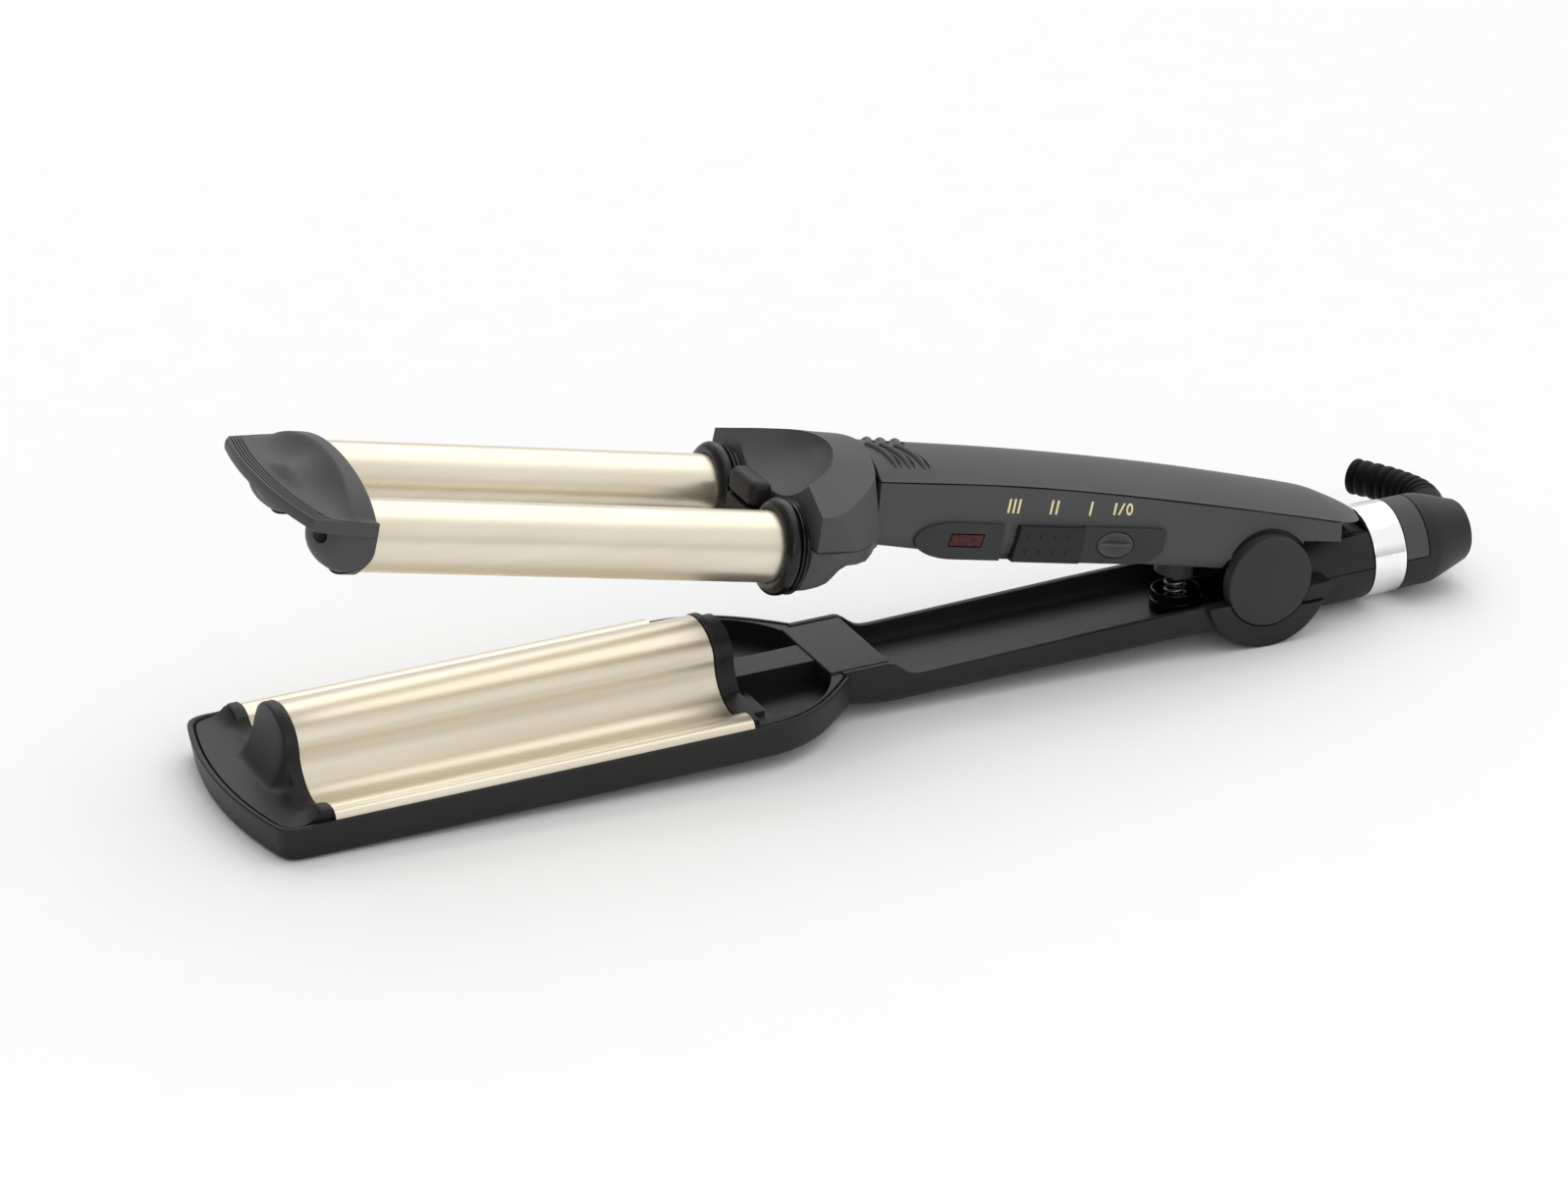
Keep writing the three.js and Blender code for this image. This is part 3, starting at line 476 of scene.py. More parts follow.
def makeDrum():
    r, h, hole = drum["radius"], drum["half"], drum["capRadius"] + 0.25
    side = [(hole, h - 4), (hole, h - 0.25), (hole + 0.25, h), (r - 0.9, h), (r - 0.3, h - 0.25), (r, h - 0.9)]
    bore = r - drum["wall"]
    farSide, nearSide = list(reversed(side)), [(a, -b) for a, b in side]
    profile = [(bore, -16.2), (hole, -16.4)] + nearSide + farSide + [(hole, 16.4), (bore, 16.2)]
    ring = turned("drum", profile, (0, 0, hingeHeight), "Y", 108)
    webs = []
    for s in (-1, 1):
        web = [(3.2, 14.3 * s), (10.5, 14.3 * s), (10.5, 16.7 * s), (3.2, 16.7 * s)]
        webs.append(turned("web", web, (0, 0, hingeHeight), "Y", 64))
    combine(ring, box("top", -30, 30, -30, 30, drum["top"], 60), box("mouth", -22, -8, -16.6, 16.6, 8.2, 20),
            box("cord way", 9, 30, -13.3, 13.3, 13, 20), box("tongue", 10, 30, -30, 30, 10.6, 30))
    soften(ring, 0.3, 2)
    return joinPieces(combine(ring, box("land", -8, 8, -30, 30, -5, 0.3)), *webs)


cordTube = {"radius": 13.08, "z": 13.06, "front": 12, "rear": 37.35, "wall": 2}


def halfTube(name, keepAbove, flatTop=None):
    r, x0, x1 = cordTube["radius"], cordTube["front"], cordTube["rear"]
    inner = r - cordTube["wall"]
    profile = [(inner, x0), (r, x0), (r, x1 - 0.25), (r - 0.25, x1), (inner, x1)]
    tube = turned(name, profile, (0, 0, cordTube["z"]), "X", 96)
    z = cordTube["z"]
    if keepAbove:
        combine(tube, box("lower half", 0, 50, -20, 20, -20, z + 0.12),
                box("flat", 0, 50, -20, 20, flatTop, 60))
    else:
        combine(tube, box("upper half", 0, 50, -20, 20, z - 0.12, 60))
    return tube


shell = joinPieces(makeTray(), makeChannel(), makeDrum(), soften(halfTube("lower tube", False), 0.2))
fit(shell, lowerArm, "lower_arm", jawPlastic, "jaw_black", ["lower_arm_shell"])


# The cover over the cord, with a foot that fills the drum behind each hinge cap
def makeCordCover():
    cover = halfTube("cord housing cover", True, 22.3)
    lid = box("cover lid", cordTube["front"] + 2, cordTube["rear"] - 0.3, -9.2, 9.2, 20.4, 22.3)
    feet = []
    for s in (-1, 1):
        y0, y1 = sorted((13.2 * s, 19.9 * s))
        foot = turned("foot", [(13.5, y0), (20.4, y0), (20.4, y1), (13.5, y1)], (0, 0, hingeHeight), "Y", 108)
        keep = box("keep", 11, 21.6, y0 - 1, y1 + 1, 10.95, 15.6)
        feet.append(soften(combine(foot, keep, operation="INTERSECT"), 0.25))
    return joinPieces(soften(cover, 0.2), lid, *feet)


fit(makeCordCover(), lowerArm, "lower_arm", jawPlastic, "jaw_black", ["cord_housing_cover"])


def makeHingeCap(side):
    r, face = drum["capRadius"], 20.9
    rounded = [(r - 0.55 + 0.55 * cos(radians(a)), face - 0.55 + 0.55 * sin(radians(a))) for a in range(0, 91, 15)]
    profile = [(0.001, 17.1), (r, 17.1)] + rounded + [(r * 0.5, face), (0.001, face)]
    return turned("hinge cap", [(a, b * side) for a, b in profile], (0, 0, hingeHeight), "Y", 108)


for side, word in ((-1, "near"), (1, "far")):
    hingeCap = makeHingeCap(side)
    hingeCap.name = "hinge cap " + word
    fit(hingeCap, lowerArm, "lower_arm", panelPlastic, "handle_black", ["hinge_cap_" + word])
print("tray, channel, drum and caps made")

# Lower arm: wave plate and its two black inserts
wave = {"front": -279.3, "rear": -162.6, "barrelY": 21.58, "barrelZ": 26.19, "trough": 10.4, "hump": 8.2,
        "rim": 19.1, "sheet": 1.2, "deck": 17.4}


# Points (y, z) of the wave from its crown out to the start of the rail, moved up by lift
def waveCurve(lift, humpSteps=26, troughSteps=36):
    halfHump = wave["barrelY"] - wave["trough"]
    r = wave["trough"] - lift
    turn = asin((wave["rim"] + lift * 0.4 - wave["barrelZ"]) / r) * 180 / pi
    crown = arcPoints(0, wave["barrelZ"], halfHump + lift, wave["hump"] + lift, 90, 0, humpSteps)
    trough = arcPoints(wave["barrelY"], wave["barrelZ"], r, r, 180, 360 + turn, troughSteps)
    return crown + trough[1:]


def makeWavePlate():
    bead = [(30.4, 19.62), (31.2, 19.98), (32.4, 20.22), (34, 20.3), (35.4, 20.12), (36.4, 19.66)]
    bead += [(37.1, 18.95), (37.4, 18.1), (37.4, 16.2)]
    under = [(36.4, 16.2), (36.2, 17.6)]
    top = waveCurve(0) + bead
    bottom = under + list(reversed(waveCurve(-wave["sheet"])))
    farTop, farBottom = reversed(top[1:]), reversed(bottom[:-1])
    outline = [(-y, z) for y, z in farTop] + top + bottom + [(-y, z) for y, z in farBottom]
    plate = raised("wave plate", outline, wave["front"], wave["rear"], "X")
    return soften(plate, 0.12, 2, 60)


fit(makeWavePlate(), lowerArm, "lower_arm", plateGold, "gold_coating", ["wave_plate"])


# Nose insert: a deck that sweeps up into the fin and the two corner posts
def makeNoseInsert():
    fin = {"front": -283.1, "reach": 6.8, "rear": -279.65, "lift": 0.55}
    crest = waveCurve(fin["lift"])
    crest += [(31.0, 20.35), (32.2, 20.75), (34, 20.9), (35.6, 20.7), (36.6, 20.2), (37.3, 19.4), (37.6, 18.4)]
    crest = [(-y, z) for y, z in reversed(crest[1:])] + crest
    places = [-299 + 0.9 * i for i in range(11)]
    places += [fin["front"] - fin["reach"] + fin["reach"] * i / 16 for i in range(17)]
    places += [fin["front"] + 0.12, fin["front"] + 0.4, fin["front"] + 0.9, -281]
    places += [fin["rear"] - 0.5, fin["rear"] - 0.15, fin["rear"]]
    rings = []
    for x in places:
        ahead = (fin["front"] - x) / fin["reach"]
        rise = 1 if ahead <= 0 else max(0, 1 - ahead) ** 2.6
        edge = 0
        if ahead <= 0:
            inFrom = min(x - fin["front"], 1.1) / 1.1
            edge = -0.75 * (1 - sqrt(max(0, 1 - (1 - inFrom) ** 2)))
            outTo = min(fin["rear"] - x, 0.6) / 0.6
            edge -= 0.3 * (1 - outTo) ** 2
        elif ahead < 0.06:
            rise = 0.93
        deck = wave["deck"]
        top = [(y, deck + (z - deck) * rise + (edge if z > deck + 1.5 else 0)) for y, z in crest]
        ring = [(x, y, z) for y, z in top] + [(x, top[-1][0], 12), (x, top[0][0], 12)]
        rings.append(ring)
    insert = skinRings("nose insert", rings)
    keep = skinRings("keep", trayRings([(2.35, 11), (2.35, 40)]))
    return combine(insert, keep, operation="INTERSECT")


noseInsert = makeNoseInsert()
fit(noseInsert, lowerArm, "lower_arm", jawPlastic, "jaw_black", ["jaw_nose_insert"], 40)


# Rear insert: a bulkhead behind the plate, a spine and a well on each side of it
def bulkheadOutline(lift, foot, reach):
    curve = [(y, z) for y, z in waveCurve(lift) if y < reach]
    half = curve + [(reach, curve[-1][1]), (reach, foot)]
    return [(-y, z) for y, z in reversed(half[1:])] + half


def makeRearInsert():
    plateEnd = wave["rear"] + 0.25
    top = tray["rim"] - 0.2
    deck = skinRings("rear deck", trayRings([(2.35, 10.6), (2.35, top - 0.35), (2.5, top - 0.08), (2.85, top)]))
    combine(deck, box("front", -330, plateEnd, -60, 60, 0, 60))
    wells = []
    for s in (-1, 1):
        edge = bezier((-150, 33.2 * s), (-141.5, 31.4 * s), (-132, 24.5 * s), (-128, 7.4 * s), 16)
        outline = [(-157.2, 5.4 * s), (-157.2, 33.2 * s)] + edge + [(-130, 5.6 * s)]
        wells.append(raised("well", outline, 11.8, 40, "Z"))
    combine(deck, *wells)
    soften(deck, 0.45, 3)
    fullBand = soften(raised("band", bulkheadOutline(0.25, 12, 35.2), plateEnd, -160.3, "X"), 0.3, 2, 50)
    ridge = soften(raised("ridge", bulkheadOutline(-0.75, 12, 30.2), -160.6, -156.6, "X"), 0.6, 3, 50)
    shelves = [soften(box("shelf", -157, -152, *sorted((6 * s, 29 * s)), 11, 14.2), 0.5) for s in (-1, 1)]
    neck = soften(box("neck deck", -131, -113.6, -16.2, 16.2, 8.6, top + 0.5), 0.5, 3)
    return joinPieces(deck, fullBand, ridge, neck, *shelves)


fit(makeRearInsert(), lowerArm, "lower_arm", jawPlastic, "jaw_black", ["jaw_rear_insert"])
print("wave plate and inserts made")

# Lower arm: spring, cup and chrome ring
spring = {"x": -18.5, "radius": 2.8, "wire": 0.55, "turns": 5.5, "low": 10.2, "high": 22.0}


def makeSpringCup():
    outside = [(0.001, 8.5), (7.4, 8.5), (7.4, 11.2), (7.15, 11.5), (6.95, 11.6), (6.95, 13.5)]
    rim = [(6.8, 13.85), (6.5, 14), (6.2, 13.9), (6.1, 13.6)]
    return turned("spring cup", outside + rim + [(6.1, 9.5), (0.001, 9.5)], (spring["x"], 0, 0), "Z", 72)


# A round skin along a path, with a radius for each of its points
def sweepTube(name, path, radii, steps=14):
    rings = []
    for i, p in enumerate(path):
        ahead = Vector(path[min(i + 1, len(path) - 1)]) - Vector(path[max(i - 1, 0)])
        ahead.normalize()
        across = ahead.cross(Vector((0, 0, 1))).normalized()
        upward = across.cross(ahead).normalized()
        angles = [2 * pi * k / steps for k in range(steps)]
        rings.append([Vector(p) + radii[i] * (across * cos(a) + upward * sin(a)) for a in angles])
    return skinRings(name, rings)


def makeOpeningSpring():
    count = 150
    path = []
    for i in range(count + 1):
        t = i / count
        angle = 2 * pi * spring["turns"] * t
        path.append((spring["x"] + spring["radius"] * cos(angle), spring["radius"] * sin(angle),
                     between(spring["low"], spring["high"], t)))
    return sweepTube("opening spring", path, [spring["wire"]] * len(path), 10)


fit(makeSpringCup(), lowerArm, "lower_arm", smoothPlastic, "jaw_black", ["spring_cup"])
coil = fit(makeOpeningSpring(), lowerArm, "lower_arm", zincSteel, "steel", ["opening_spring"])
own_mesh(coil)

chrome = {"front": 37.7, "rear": 47.75}


def makeChromeRing():
    r, x0, x1 = cordTube["radius"], chrome["front"], chrome["rear"]
    frontEdge = [(r - 1.6, x0), (r - 0.35, x0), (r - 0.12, x0 + 0.12), (r, x0 + 0.4)]
    rearEdge = [(r, x1 - 0.4), (r - 0.12, x1 - 0.12), (r - 0.35, x1), (r - 1.6, x1)]
    return turned("chrome ring", frontEdge + rearEdge, (0, 0, cordTube["z"]), "X", 128)


fit(makeChromeRing(), lowerArm, "lower_arm", chromePlate, "chrome_trim", ["chrome_ring"])

# Cord swivel: body, cover and ribbed strain relief
swivel = {"radius": 12.88, "front": 48.05, "coverRear": 55, "rear": 71.8}


def swivelProfile():
    r, x0, x1 = swivel["radius"], swivel["front"], swivel["rear"]
    frontEdge = [(0.001, x0), (r - 0.3, x0), (r - 0.08, x0 + 0.1), (r, x0 + 0.35)]
    taper = [(r, 58.0), (r - 0.25, 59.6), (r - 1.15, 62.4), (8.9, x1 - 1.2), (8.3, x1 - 0.4)]
    return frontEdge + taper + [(7.4, x1), (0.001, x1)]


def makeSwivel():
    z, split = cordTube["z"], swivel["coverRear"]
    x0 = swivel["front"]
    whole = [turned(n, swivelProfile(), (0, 0, z), "X", 112) for n in ("swivel body", "swivel cover")]
    cover = combine(whole[1], box("keep", x0 - 1, split, -20, 20, z + 0.12, 60), operation="INTERSECT")
    body = combine(whole[0], box("cover room", x0 - 1, split + 0.3, -20, 20, z - 0.12, 60))
    inner = rod("inner", 11.2, x0 + 0.1, split + 0.6, (0, 0, z), "X", 64)
    return joinPieces(soften(body, 0.18), inner), soften(cover, 0.18)


relief = {"route": [(64.5, 5.5, 13.4), (69.5, 13, 14), (72.3, 23, 14), (69.4, 34, 14), (63.4, 45, 14)],
          "ribs": 10, "rib": 5.3, "core": 4.3, "plainUntil": 0.36}


def makeStrainRelief():
    path = [Vector(p) for p in smoothRows(relief["route"], 48)]
    radii = []
    for i in range(len(path)):
        t = i / (len(path) - 1)
        if t < relief["plainUntil"]:
            radii.append(between(5.6, 5.3, t / relief["plainUntil"]))
        else:
            phase = (t - relief["plainUntil"]) / (1 - relief["plainUntil"]) * relief["ribs"]
            bump = max(0.0, sin(pi * (phase % 1.0))) ** 0.45
            radii.append(between(relief["core"], relief["rib"], bump))
    body = sweepTube("strain relief", path, radii, 40)
    tip, before = path[-1], path[-4]
    out = (tip - before).normalized()
    bore = rod("cord bore", 3.0, -6, 4, (0, 0, 0), "X", 32)
    bore.data.transform(Matrix.Translation(tip) @ out.to_track_quat("X", "Z").to_matrix().to_4x4())
    return combine(body, bore)


swivelBody, swivelCover = makeSwivel()
fit(swivelBody, lowerArm, "cord_swivel", jawPlastic, "jaw_black", ["swivel_body"])
fit(swivelCover, lowerArm, "cord_swivel", charcoalPlastic, "jaw_black", ["swivel_cover"])
fit(makeStrainRelief(), lowerArm, "cord_swivel", cordRubber, "cord_rubber", ["strain_relief"], 60)
print("spring, chrome ring and cord swivel made")

# Upper arm, drawn closed: barrels, collars and the tip cap
barrels = {"radius": 9.5, "y": 21.58, "z": 26.19, "front": -276.5, "rear": -147}
collars = {"front": -156.2, "radius": 12.9}


def barrelLine(side):
    return 0, side * barrels["y"], barrels["z"]


def makeBarrel(side):
    r = barrels["radius"]
    inner = r - 1.2
    x0, x1 = barrels["front"], barrels["rear"]
    profile = [(inner, x0), (r - 0.2, x0), (r, x0 + 0.2), (r, x1 - 0.2), (r - 0.2, x1), (inner, x1)]
    return turned("barrel", profile, barrelLine(side), "X", 128)


def makeCollar(side):
    inner, r, x = barrels["radius"] + 0.12, collars["radius"], collars["front"]
    nose = bezier((inner + 0.2, x), (r - 1.6, x - 0.15), (r, x + 0.6), (r, x + 2.0), 10)
    back = bezier((r, x + 2.2), (r, x + 3.2), (r - 0.3, x + 3.8), (r - 1.1, x + 3.95), 6)
    return turned("collar", nose + back + [(inner, x + 3.95), (inner, x + 0.2)], barrelLine(side), "X", 112)


# Thin stepped rings between the collar and the head
def makeCollarRing(side):
    inner, x = barrels["radius"] + 0.15, collars["front"] + 4.15
    smallStep = [(11.9, x), (12.25, x + 0.2), (12.25, x + 0.7), (11.9, x + 0.85)]
    largeStep = [(12.3, x + 1.0), (12.55, x + 1.2), (12.55, x + 1.7), (12.3, x + 1.9)]
    profile = [(inner, x)] + smallStep + largeStep + [(inner, x + 1.9)]
    return turned("collar ring", profile, barrelLine(side), "X", 112)


roundPieces = [(makeBarrel, barrelGold, "gold_coating", "barrel_"),
               (makeCollar, smoothPlastic, "jaw_black", "collar_"),
               (makeCollarRing, smoothPlastic, "jaw_black", "collar_ring_")]
for side, word in ((-1, "near"), (1, "far")):
    for make, material, slotName, node in roundPieces:
        piece = make(side)
        piece.name = (node + word).replace("_", " ")
        fit(piece, upperArm, "upper_arm", material, slotName, [node + word])

cap = {"lipX": -293.2, "lipHalf": 31, "lipBow": 3.6, "lipTop": 33.3, "lipLow": 29.9, "corner": 2, "seam": 29.6,
       "grooves": 4, "groovePitch": 0.9, "grooveDepth": 0.46, "skirt": 33, "crownBase": 28.8, "crownHeight": 12.5,
       "rear": -271.6, "archFront": -284.2, "archHalf": 12.1, "domeX": -273.6, "domeLong": 12, "domeDeep": 10}


def capRim(y):
    arch = sqrt(max(0, 1 - (y / (cap["skirt"] + 0.1)) ** 2))
    return max(33.5, cap["crownBase"] + cap["crownHeight"] * arch)


# The rear face: upright behind the rim, curving in under the barrels
def capRear(z):
    return cap["rear"] - 0.031 * max(0, 30 - z) ** 2


# The chin is a shallow bulge under the middle of the lip
def chinAt(x, y):
    return 29.7 - 3.2 * sqrt(max(0, 1 - ((x + 288) / 3.6) ** 2 - (y / 8.4) ** 2))


# The bowl: nearly level behind the lip, steeper and steeper up to the rim
def bowlAt(x, y, front, inner):
    crown = 3.0 * exp(-(y / 9) ** 2) * easeStep((x - front) / 4.2)
    floor = cap["lipTop"] + 0.15 + crown
    climb = max(0, (x - inner + 9.5) / 9.5) ** 2.4
    return floor + max(0, capRim(y) - 0.3 - floor) * min(1, climb)


# The upper side of a slice, as points (x, z): the grooved lip, the bowl and the rim
def capTop(y, lipX):
    lipTop, lipLow, rear, rim = cap["lipTop"], cap["lipLow"], cap["rear"], capRim(y)
    depth = cap["grooveDepth"] * (1 - easeStep((abs(y) - 28.5) / 2))
    top = [(lipX + 0.9, lipLow), (lipX + 0.15, lipLow + 0.4), (lipX, lipTop - 1.8), (lipX + 0.12, lipTop - 0.8),
           (lipX + 0.55, lipTop - 0.15)]
    for i in range(cap["grooves"]):
        x, z = lipX + 0.95 + cap["groovePitch"] * i, lipTop - 0.12 + 0.04 * i
        top += [(x, z), (x + 0.28, z), (x + 0.38, z - depth), (x + 0.6, z - depth), (x + 0.7, z + 0.02)]
    front, inner = lipX + 4.6, -275.7 - 3.6 * (y / cap["skirt"]) ** 2
    for i in range(19):
        x = between(front, inner, i / 18)
        top.append((x, bowlAt(x, y, front, inner)))
    top += [(inner + 0.45, rim - 0.08), (inner + 1.2, rim + 0.02)]
    return top + [(rear - 1.2, rim), (rear - 0.45, rim - 0.12), (rear, rim - 0.6)]


# Under the middle: an arch between the barrels, with the chin in front of it
def capArch(y):
    under = 27 + 8.6 * sqrt(1 - (y / cap["archHalf"]) ** 2)
    bottom = [(between(capRear(under) - 0.4, cap["archFront"], i / 6), under) for i in range(7)]
    bottom += [(cap["archFront"] - 0.05, chinAt(-284.9, y) + 0.5)]
    return under, bottom + [(x, chinAt(x, y)) for x in (between(-284.9, -291, i / 9) for i in range(10))]


# Under each side: a dome over the end of the barrel, then the parting line and the foot of the lip
def capDome(y, lipX):
    size = sqrt(max(0.01, 1 - ((abs(y) - barrels["y"]) / 11.5) ** 2))
    long, deep = cap["domeLong"] * size, cap["domeDeep"] * size
    turns = [pi / 2 * i / 11 for i in range(12)]
    bottom = [(cap["domeX"] - long * sin(turn), barrels["z"] - deep * cos(turn)) for turn in turns]
    edge = cap["domeX"] - long
    bottom += [(edge, cap["seam"]), (edge - 0.3, cap["seam"] + 0.4)]
    bottom += [(between(edge - 0.7, lipX + 1.4, i / 3), cap["lipLow"] - 0.3) for i in range(4)]
    return barrels["z"] - deep, bottom


# One slice of the cap along the tool; past the lip's end the slices draw back to the rear face
def capSlice(y):
    away = min(abs(y), cap["lipHalf"])
    lipX = cap["lipX"] - 0.03 * y + cap["lipBow"] * (away / cap["lipHalf"]) ** 2
    r, rear = cap["corner"], cap["rear"]
    corner = lipX + r - sqrt(max(0, r * r - max(0, away - cap["lipHalf"] + r) ** 2)) + 6 * (abs(y) - away)
    under, bottom = capArch(y) if abs(y) < cap["archHalf"] else capDome(y, lipX)
    back = [(capRear(z), z) for z in (between(capRim(y) - 1, under + 0.5, i / 8) for i in range(9))]
    back += [(capRear(under) - 0.4, under)]
    squeeze = (corner - rear) / (lipX - rear)
    return [(rear + (x - rear) * squeeze, y, z) for x, z in capTop(y, lipX) + back + bottom]


def makeTipCap():
    half = [0, 1.6, 3.2, 4.8, 6.4, 8, 9, 9.7, 10.4, 11, 11.6, 12.05, 12.15, 12.6, 13.8, 15.2, 16.8, 18.4]
    half += [20, 21.6, 23.2, 24.8, 26.4, 28, 29.2, 30.4, 31.3, 32.0, 32.5, 32.8, 33.0]
    places = [-y for y in reversed(half[1:])] + half
    whole = skinRings("tip cap", [capSlice(y) for y in places])
    lower = addObject("tip cap lower", whole.data.copy())
    seam = cap["seam"]
    upper = combine(whole, box("below", -330, -250, -50, 50, 0, seam + 0.1))
    combine(lower, box("above", -330, -250, -50, 50, seam - 0.1, 60))
    for s in (-1, 1):
        combine(lower, rod("screw hole", 2.2, -300, -280, (0, s * 26.2, 27.6), "X", 36))
    upper.name, lower.name = "tip cap upper", "tip cap lower"
    return upper, lower


capUpper, capLower = makeTipCap()
fit(capUpper, upperArm, "upper_arm", charcoalPlastic, "handle_black", ["tip_cap_upper"], 38)
fit(capLower, upperArm, "upper_arm", charcoalPlastic, "handle_black", ["tip_cap_lower"], 38)
print("barrels, collars and tip cap made")

# Upper arm: the faceted head that holds the barrels
head = {"front": -150.2, "seam": 29.7, "valley": 35.8, "apexZ": 48.6,
        "shoulder": (-148.9, 34.65, 39.2), "cheek": (-144.2, 33.7, 39.3),
        "ridge": [(-148.2, 22.4, 43.6), (-144.8, 19.9, 44.6), (-141.4, 17.4, 45.5), (-138.4, 14.2, 46.6),
                  (-136.2, 10.3, 47.7), (-134.3, 5.4, 48.4), (-133.4, 0, 48.6)]}


# Upper half: a saddle between two ridges, faceted cheeks outside them, and flat ends
def makeHeadUpper():
    steps, seam = 24, head["seam"]
    shoulder, cheek = head["shoulder"], head["cheek"]
    neckSide, neckTop = (-126.4, 17.4, 44.9), (-123.4, 0, 48.7)
    outer = bezier(shoulder, shoulder, cheek, cheek, 3)[:-1]
    outer += bezier(cheek, (-138.5, 31, 40.4), (-130.5, 23.5, 42.9), neckSide, 11)[:-1]
    outer += bezier(neckSide, (-124.8, 13, 46.6), (-123.4, 6.5, 48.5), neckTop, steps - 14)
    footFront, footRear, neckFoot = (-148.8, 35.3, seam), (-135.6, 32.9, seam), (-122.4, 18.9, seam)
    foot = bezier(footFront, footFront, footRear, footRear, 3)[:-1]
    foot += bezier(footRear, (-131, 30, seam), (-126, 24, seam), neckFoot, 11)
    ridge = [Vector(p) for p in smoothRows(head["ridge"], steps // 6)]
    verts, faces = [], []

    def patch(rows):
        start, width = len(verts), len(rows[0])
        for row in rows:
            verts.extend(Vector(p) for p in row)
        for i in range(len(rows) - 1):
            for j in range(width - 1):
                a = start + i * width + j
                faces.append((a, a + 1, a + width + 1, a + width))

    def stripe(a, b, parts, flip):
        return [Vector(a).lerp(Vector(b), k / parts) * flip for k in range(parts + 1)]

    for s in (1, -1):
        flip = Vector((1, s, 1))
        patch([stripe(a, b, 4, flip) for a, b in zip(ridge, outer)])
        patch([stripe(a, b, 2, flip) for a, b in zip(outer, foot)])
        rearTop = [Vector(p) * flip for p in outer[len(foot) - 1:]]
        rearFoot = [Vector(neckFoot) * flip] + [Vector((p.x + 1.2, p.y, seam)) for p in rearTop[1:]]
        patch([list(pair) for pair in zip(rearTop, rearFoot)])
    saddle = []
    for i, p in enumerate(ridge):
        t = i / steps
        floor = between(head["valley"], head["apexZ"], t ** 1.15)
        row = []
        for k in range(17):
            across = between(-1, 1, k / 16)
            bow = 1.4 * (1 - across ** 2) * (1 - t)
            row.append((p.x - bow, p.y * across, between(floor, p.z, abs(across) ** 3 if p.y > 0.01 else 1)))
        saddle.append(row)
    patch(saddle)
    # The flat front behind the collars, down to the parting line
    frontRow = [Vector(p) for p in saddle[0]]
    reach = head["ridge"][0][1]
    patch([frontRow, [(head["front"] + 1.4 * abs(p.y) / reach, p.y * footFront[1] / reach, seam) for p in frontRow]])
    for s in (1, -1):
        start = len(verts)
        verts.extend(Vector(p) * Vector((1, s, 1)) for p in (head["ridge"][0], shoulder, footFront))
        faces.append((start, start + 1, start + 2))
    return newPiece("head upper", verts, faces)


def closeHoles(piece):
    work = bmesh.new()
    work.from_mesh(piece.data)
    bmesh.ops.remove_doubles(work, verts=work.verts, dist=0.02)
    bmesh.ops.dissolve_degenerate(work, edges=work.edges, dist=0.01)
    bmesh.ops.holes_fill(work, edges=work.edges, sides=0)
    bmesh.ops.recalc_face_normals(work, faces=work.faces)
    work.to_mesh(piece.data)
    work.free()
    return piece


headShell = soften(closeHoles(makeHeadUpper()), 0.4, 3, 24)
fit(headShell, upperArm, "upper_arm", charcoalPlastic, "handle_black", ["head_upper"], 24)


# Lower half of the head: a cradle under each barrel, stepping up to the neck
def makeHeadLower():
    top = head["seam"] - 0.25
    cradle = [(-150.0, 15.0, 34.9), (-147.5, 15.4, 35.4), (-145, 16.1, 35.4), (-142.6, 17.4, 34.8),
              (-141, 19.2, 34.2), (-139.6, 21.8, 33.6), (-138.2, 24.4, 33.2), (-135.2, 25.0, 32.4),
              (-131, 25.3, 29.6), (-127, 25.7, 24.6), (-124.2, 26.0, 20.4), (-122.6, 26.2, 18.9)]
    rings = []
    for x, low, reach in cradle:
        mid, depth = min(barrels["y"], reach * 0.62), 24.6 - low
        half = [(0, 24.9)]
        for i in range(1, 10):
            y = between(6, reach - 0.5, i / 10)
            bowl = sqrt(max(0, 1 - ((y - mid) / max(6, reach - mid)) ** 2)) if y > mid - 12 else 0
            half.append((y, 24.9 - max(0, depth + 0.3) * bowl if depth > 0 else max(low, 24.9)))
        half += [(reach - 0.25, 25.6), (reach, 26.4), (reach, top), (0, top)]
        rings.append([(x, y, z) for y, z in mirrored(half)])
    return skinRings("head lower", rings)


fit(soften(makeHeadLower(), 0.25, 2, 40), upperArm, "upper_arm", charcoalPlastic, "handle_black", ["head_lower"], 40)


# Rounded block between the barrels, in two halves
def makeCentreBlock(low, high, roundTop):
    front = bezier((-156.6, 5.2), (-156.7, 6.6), (-155.6, 7.6), (-154, 7.9), 5)
    half = [(-156.7, 0)] + front + [(-150.4, 8.2)]
    outline = half + [(x, -y) for x, y in reversed(half[1:])]
    block = raised("centre block", outline, low, high, "Z")
    if roundTop:
        edge = block.modifiers.new("round top", "BEVEL")
        edge.width, edge.segments = 2.6, 6
        edge.limit_method, edge.angle_limit = "ANGLE", radians(60)
        return applyModifiers(block)
    return soften(block, 0.35, 2, 50)


upperBlock, lowerBlock = makeCentreBlock(31.4, 38.7, True), makeCentreBlock(22.0, 31.15, False)
upperBlock.name, lowerBlock.name = "centre block upper", "centre block lower"
fit(upperBlock, upperArm, "upper_arm", jawPlastic, "jaw_black", ["centre_block_upper"])
fit(lowerBlock, upperArm, "upper_arm", jawPlastic, "jaw_black", ["centre_block_lower"])
print("head and centre block made")

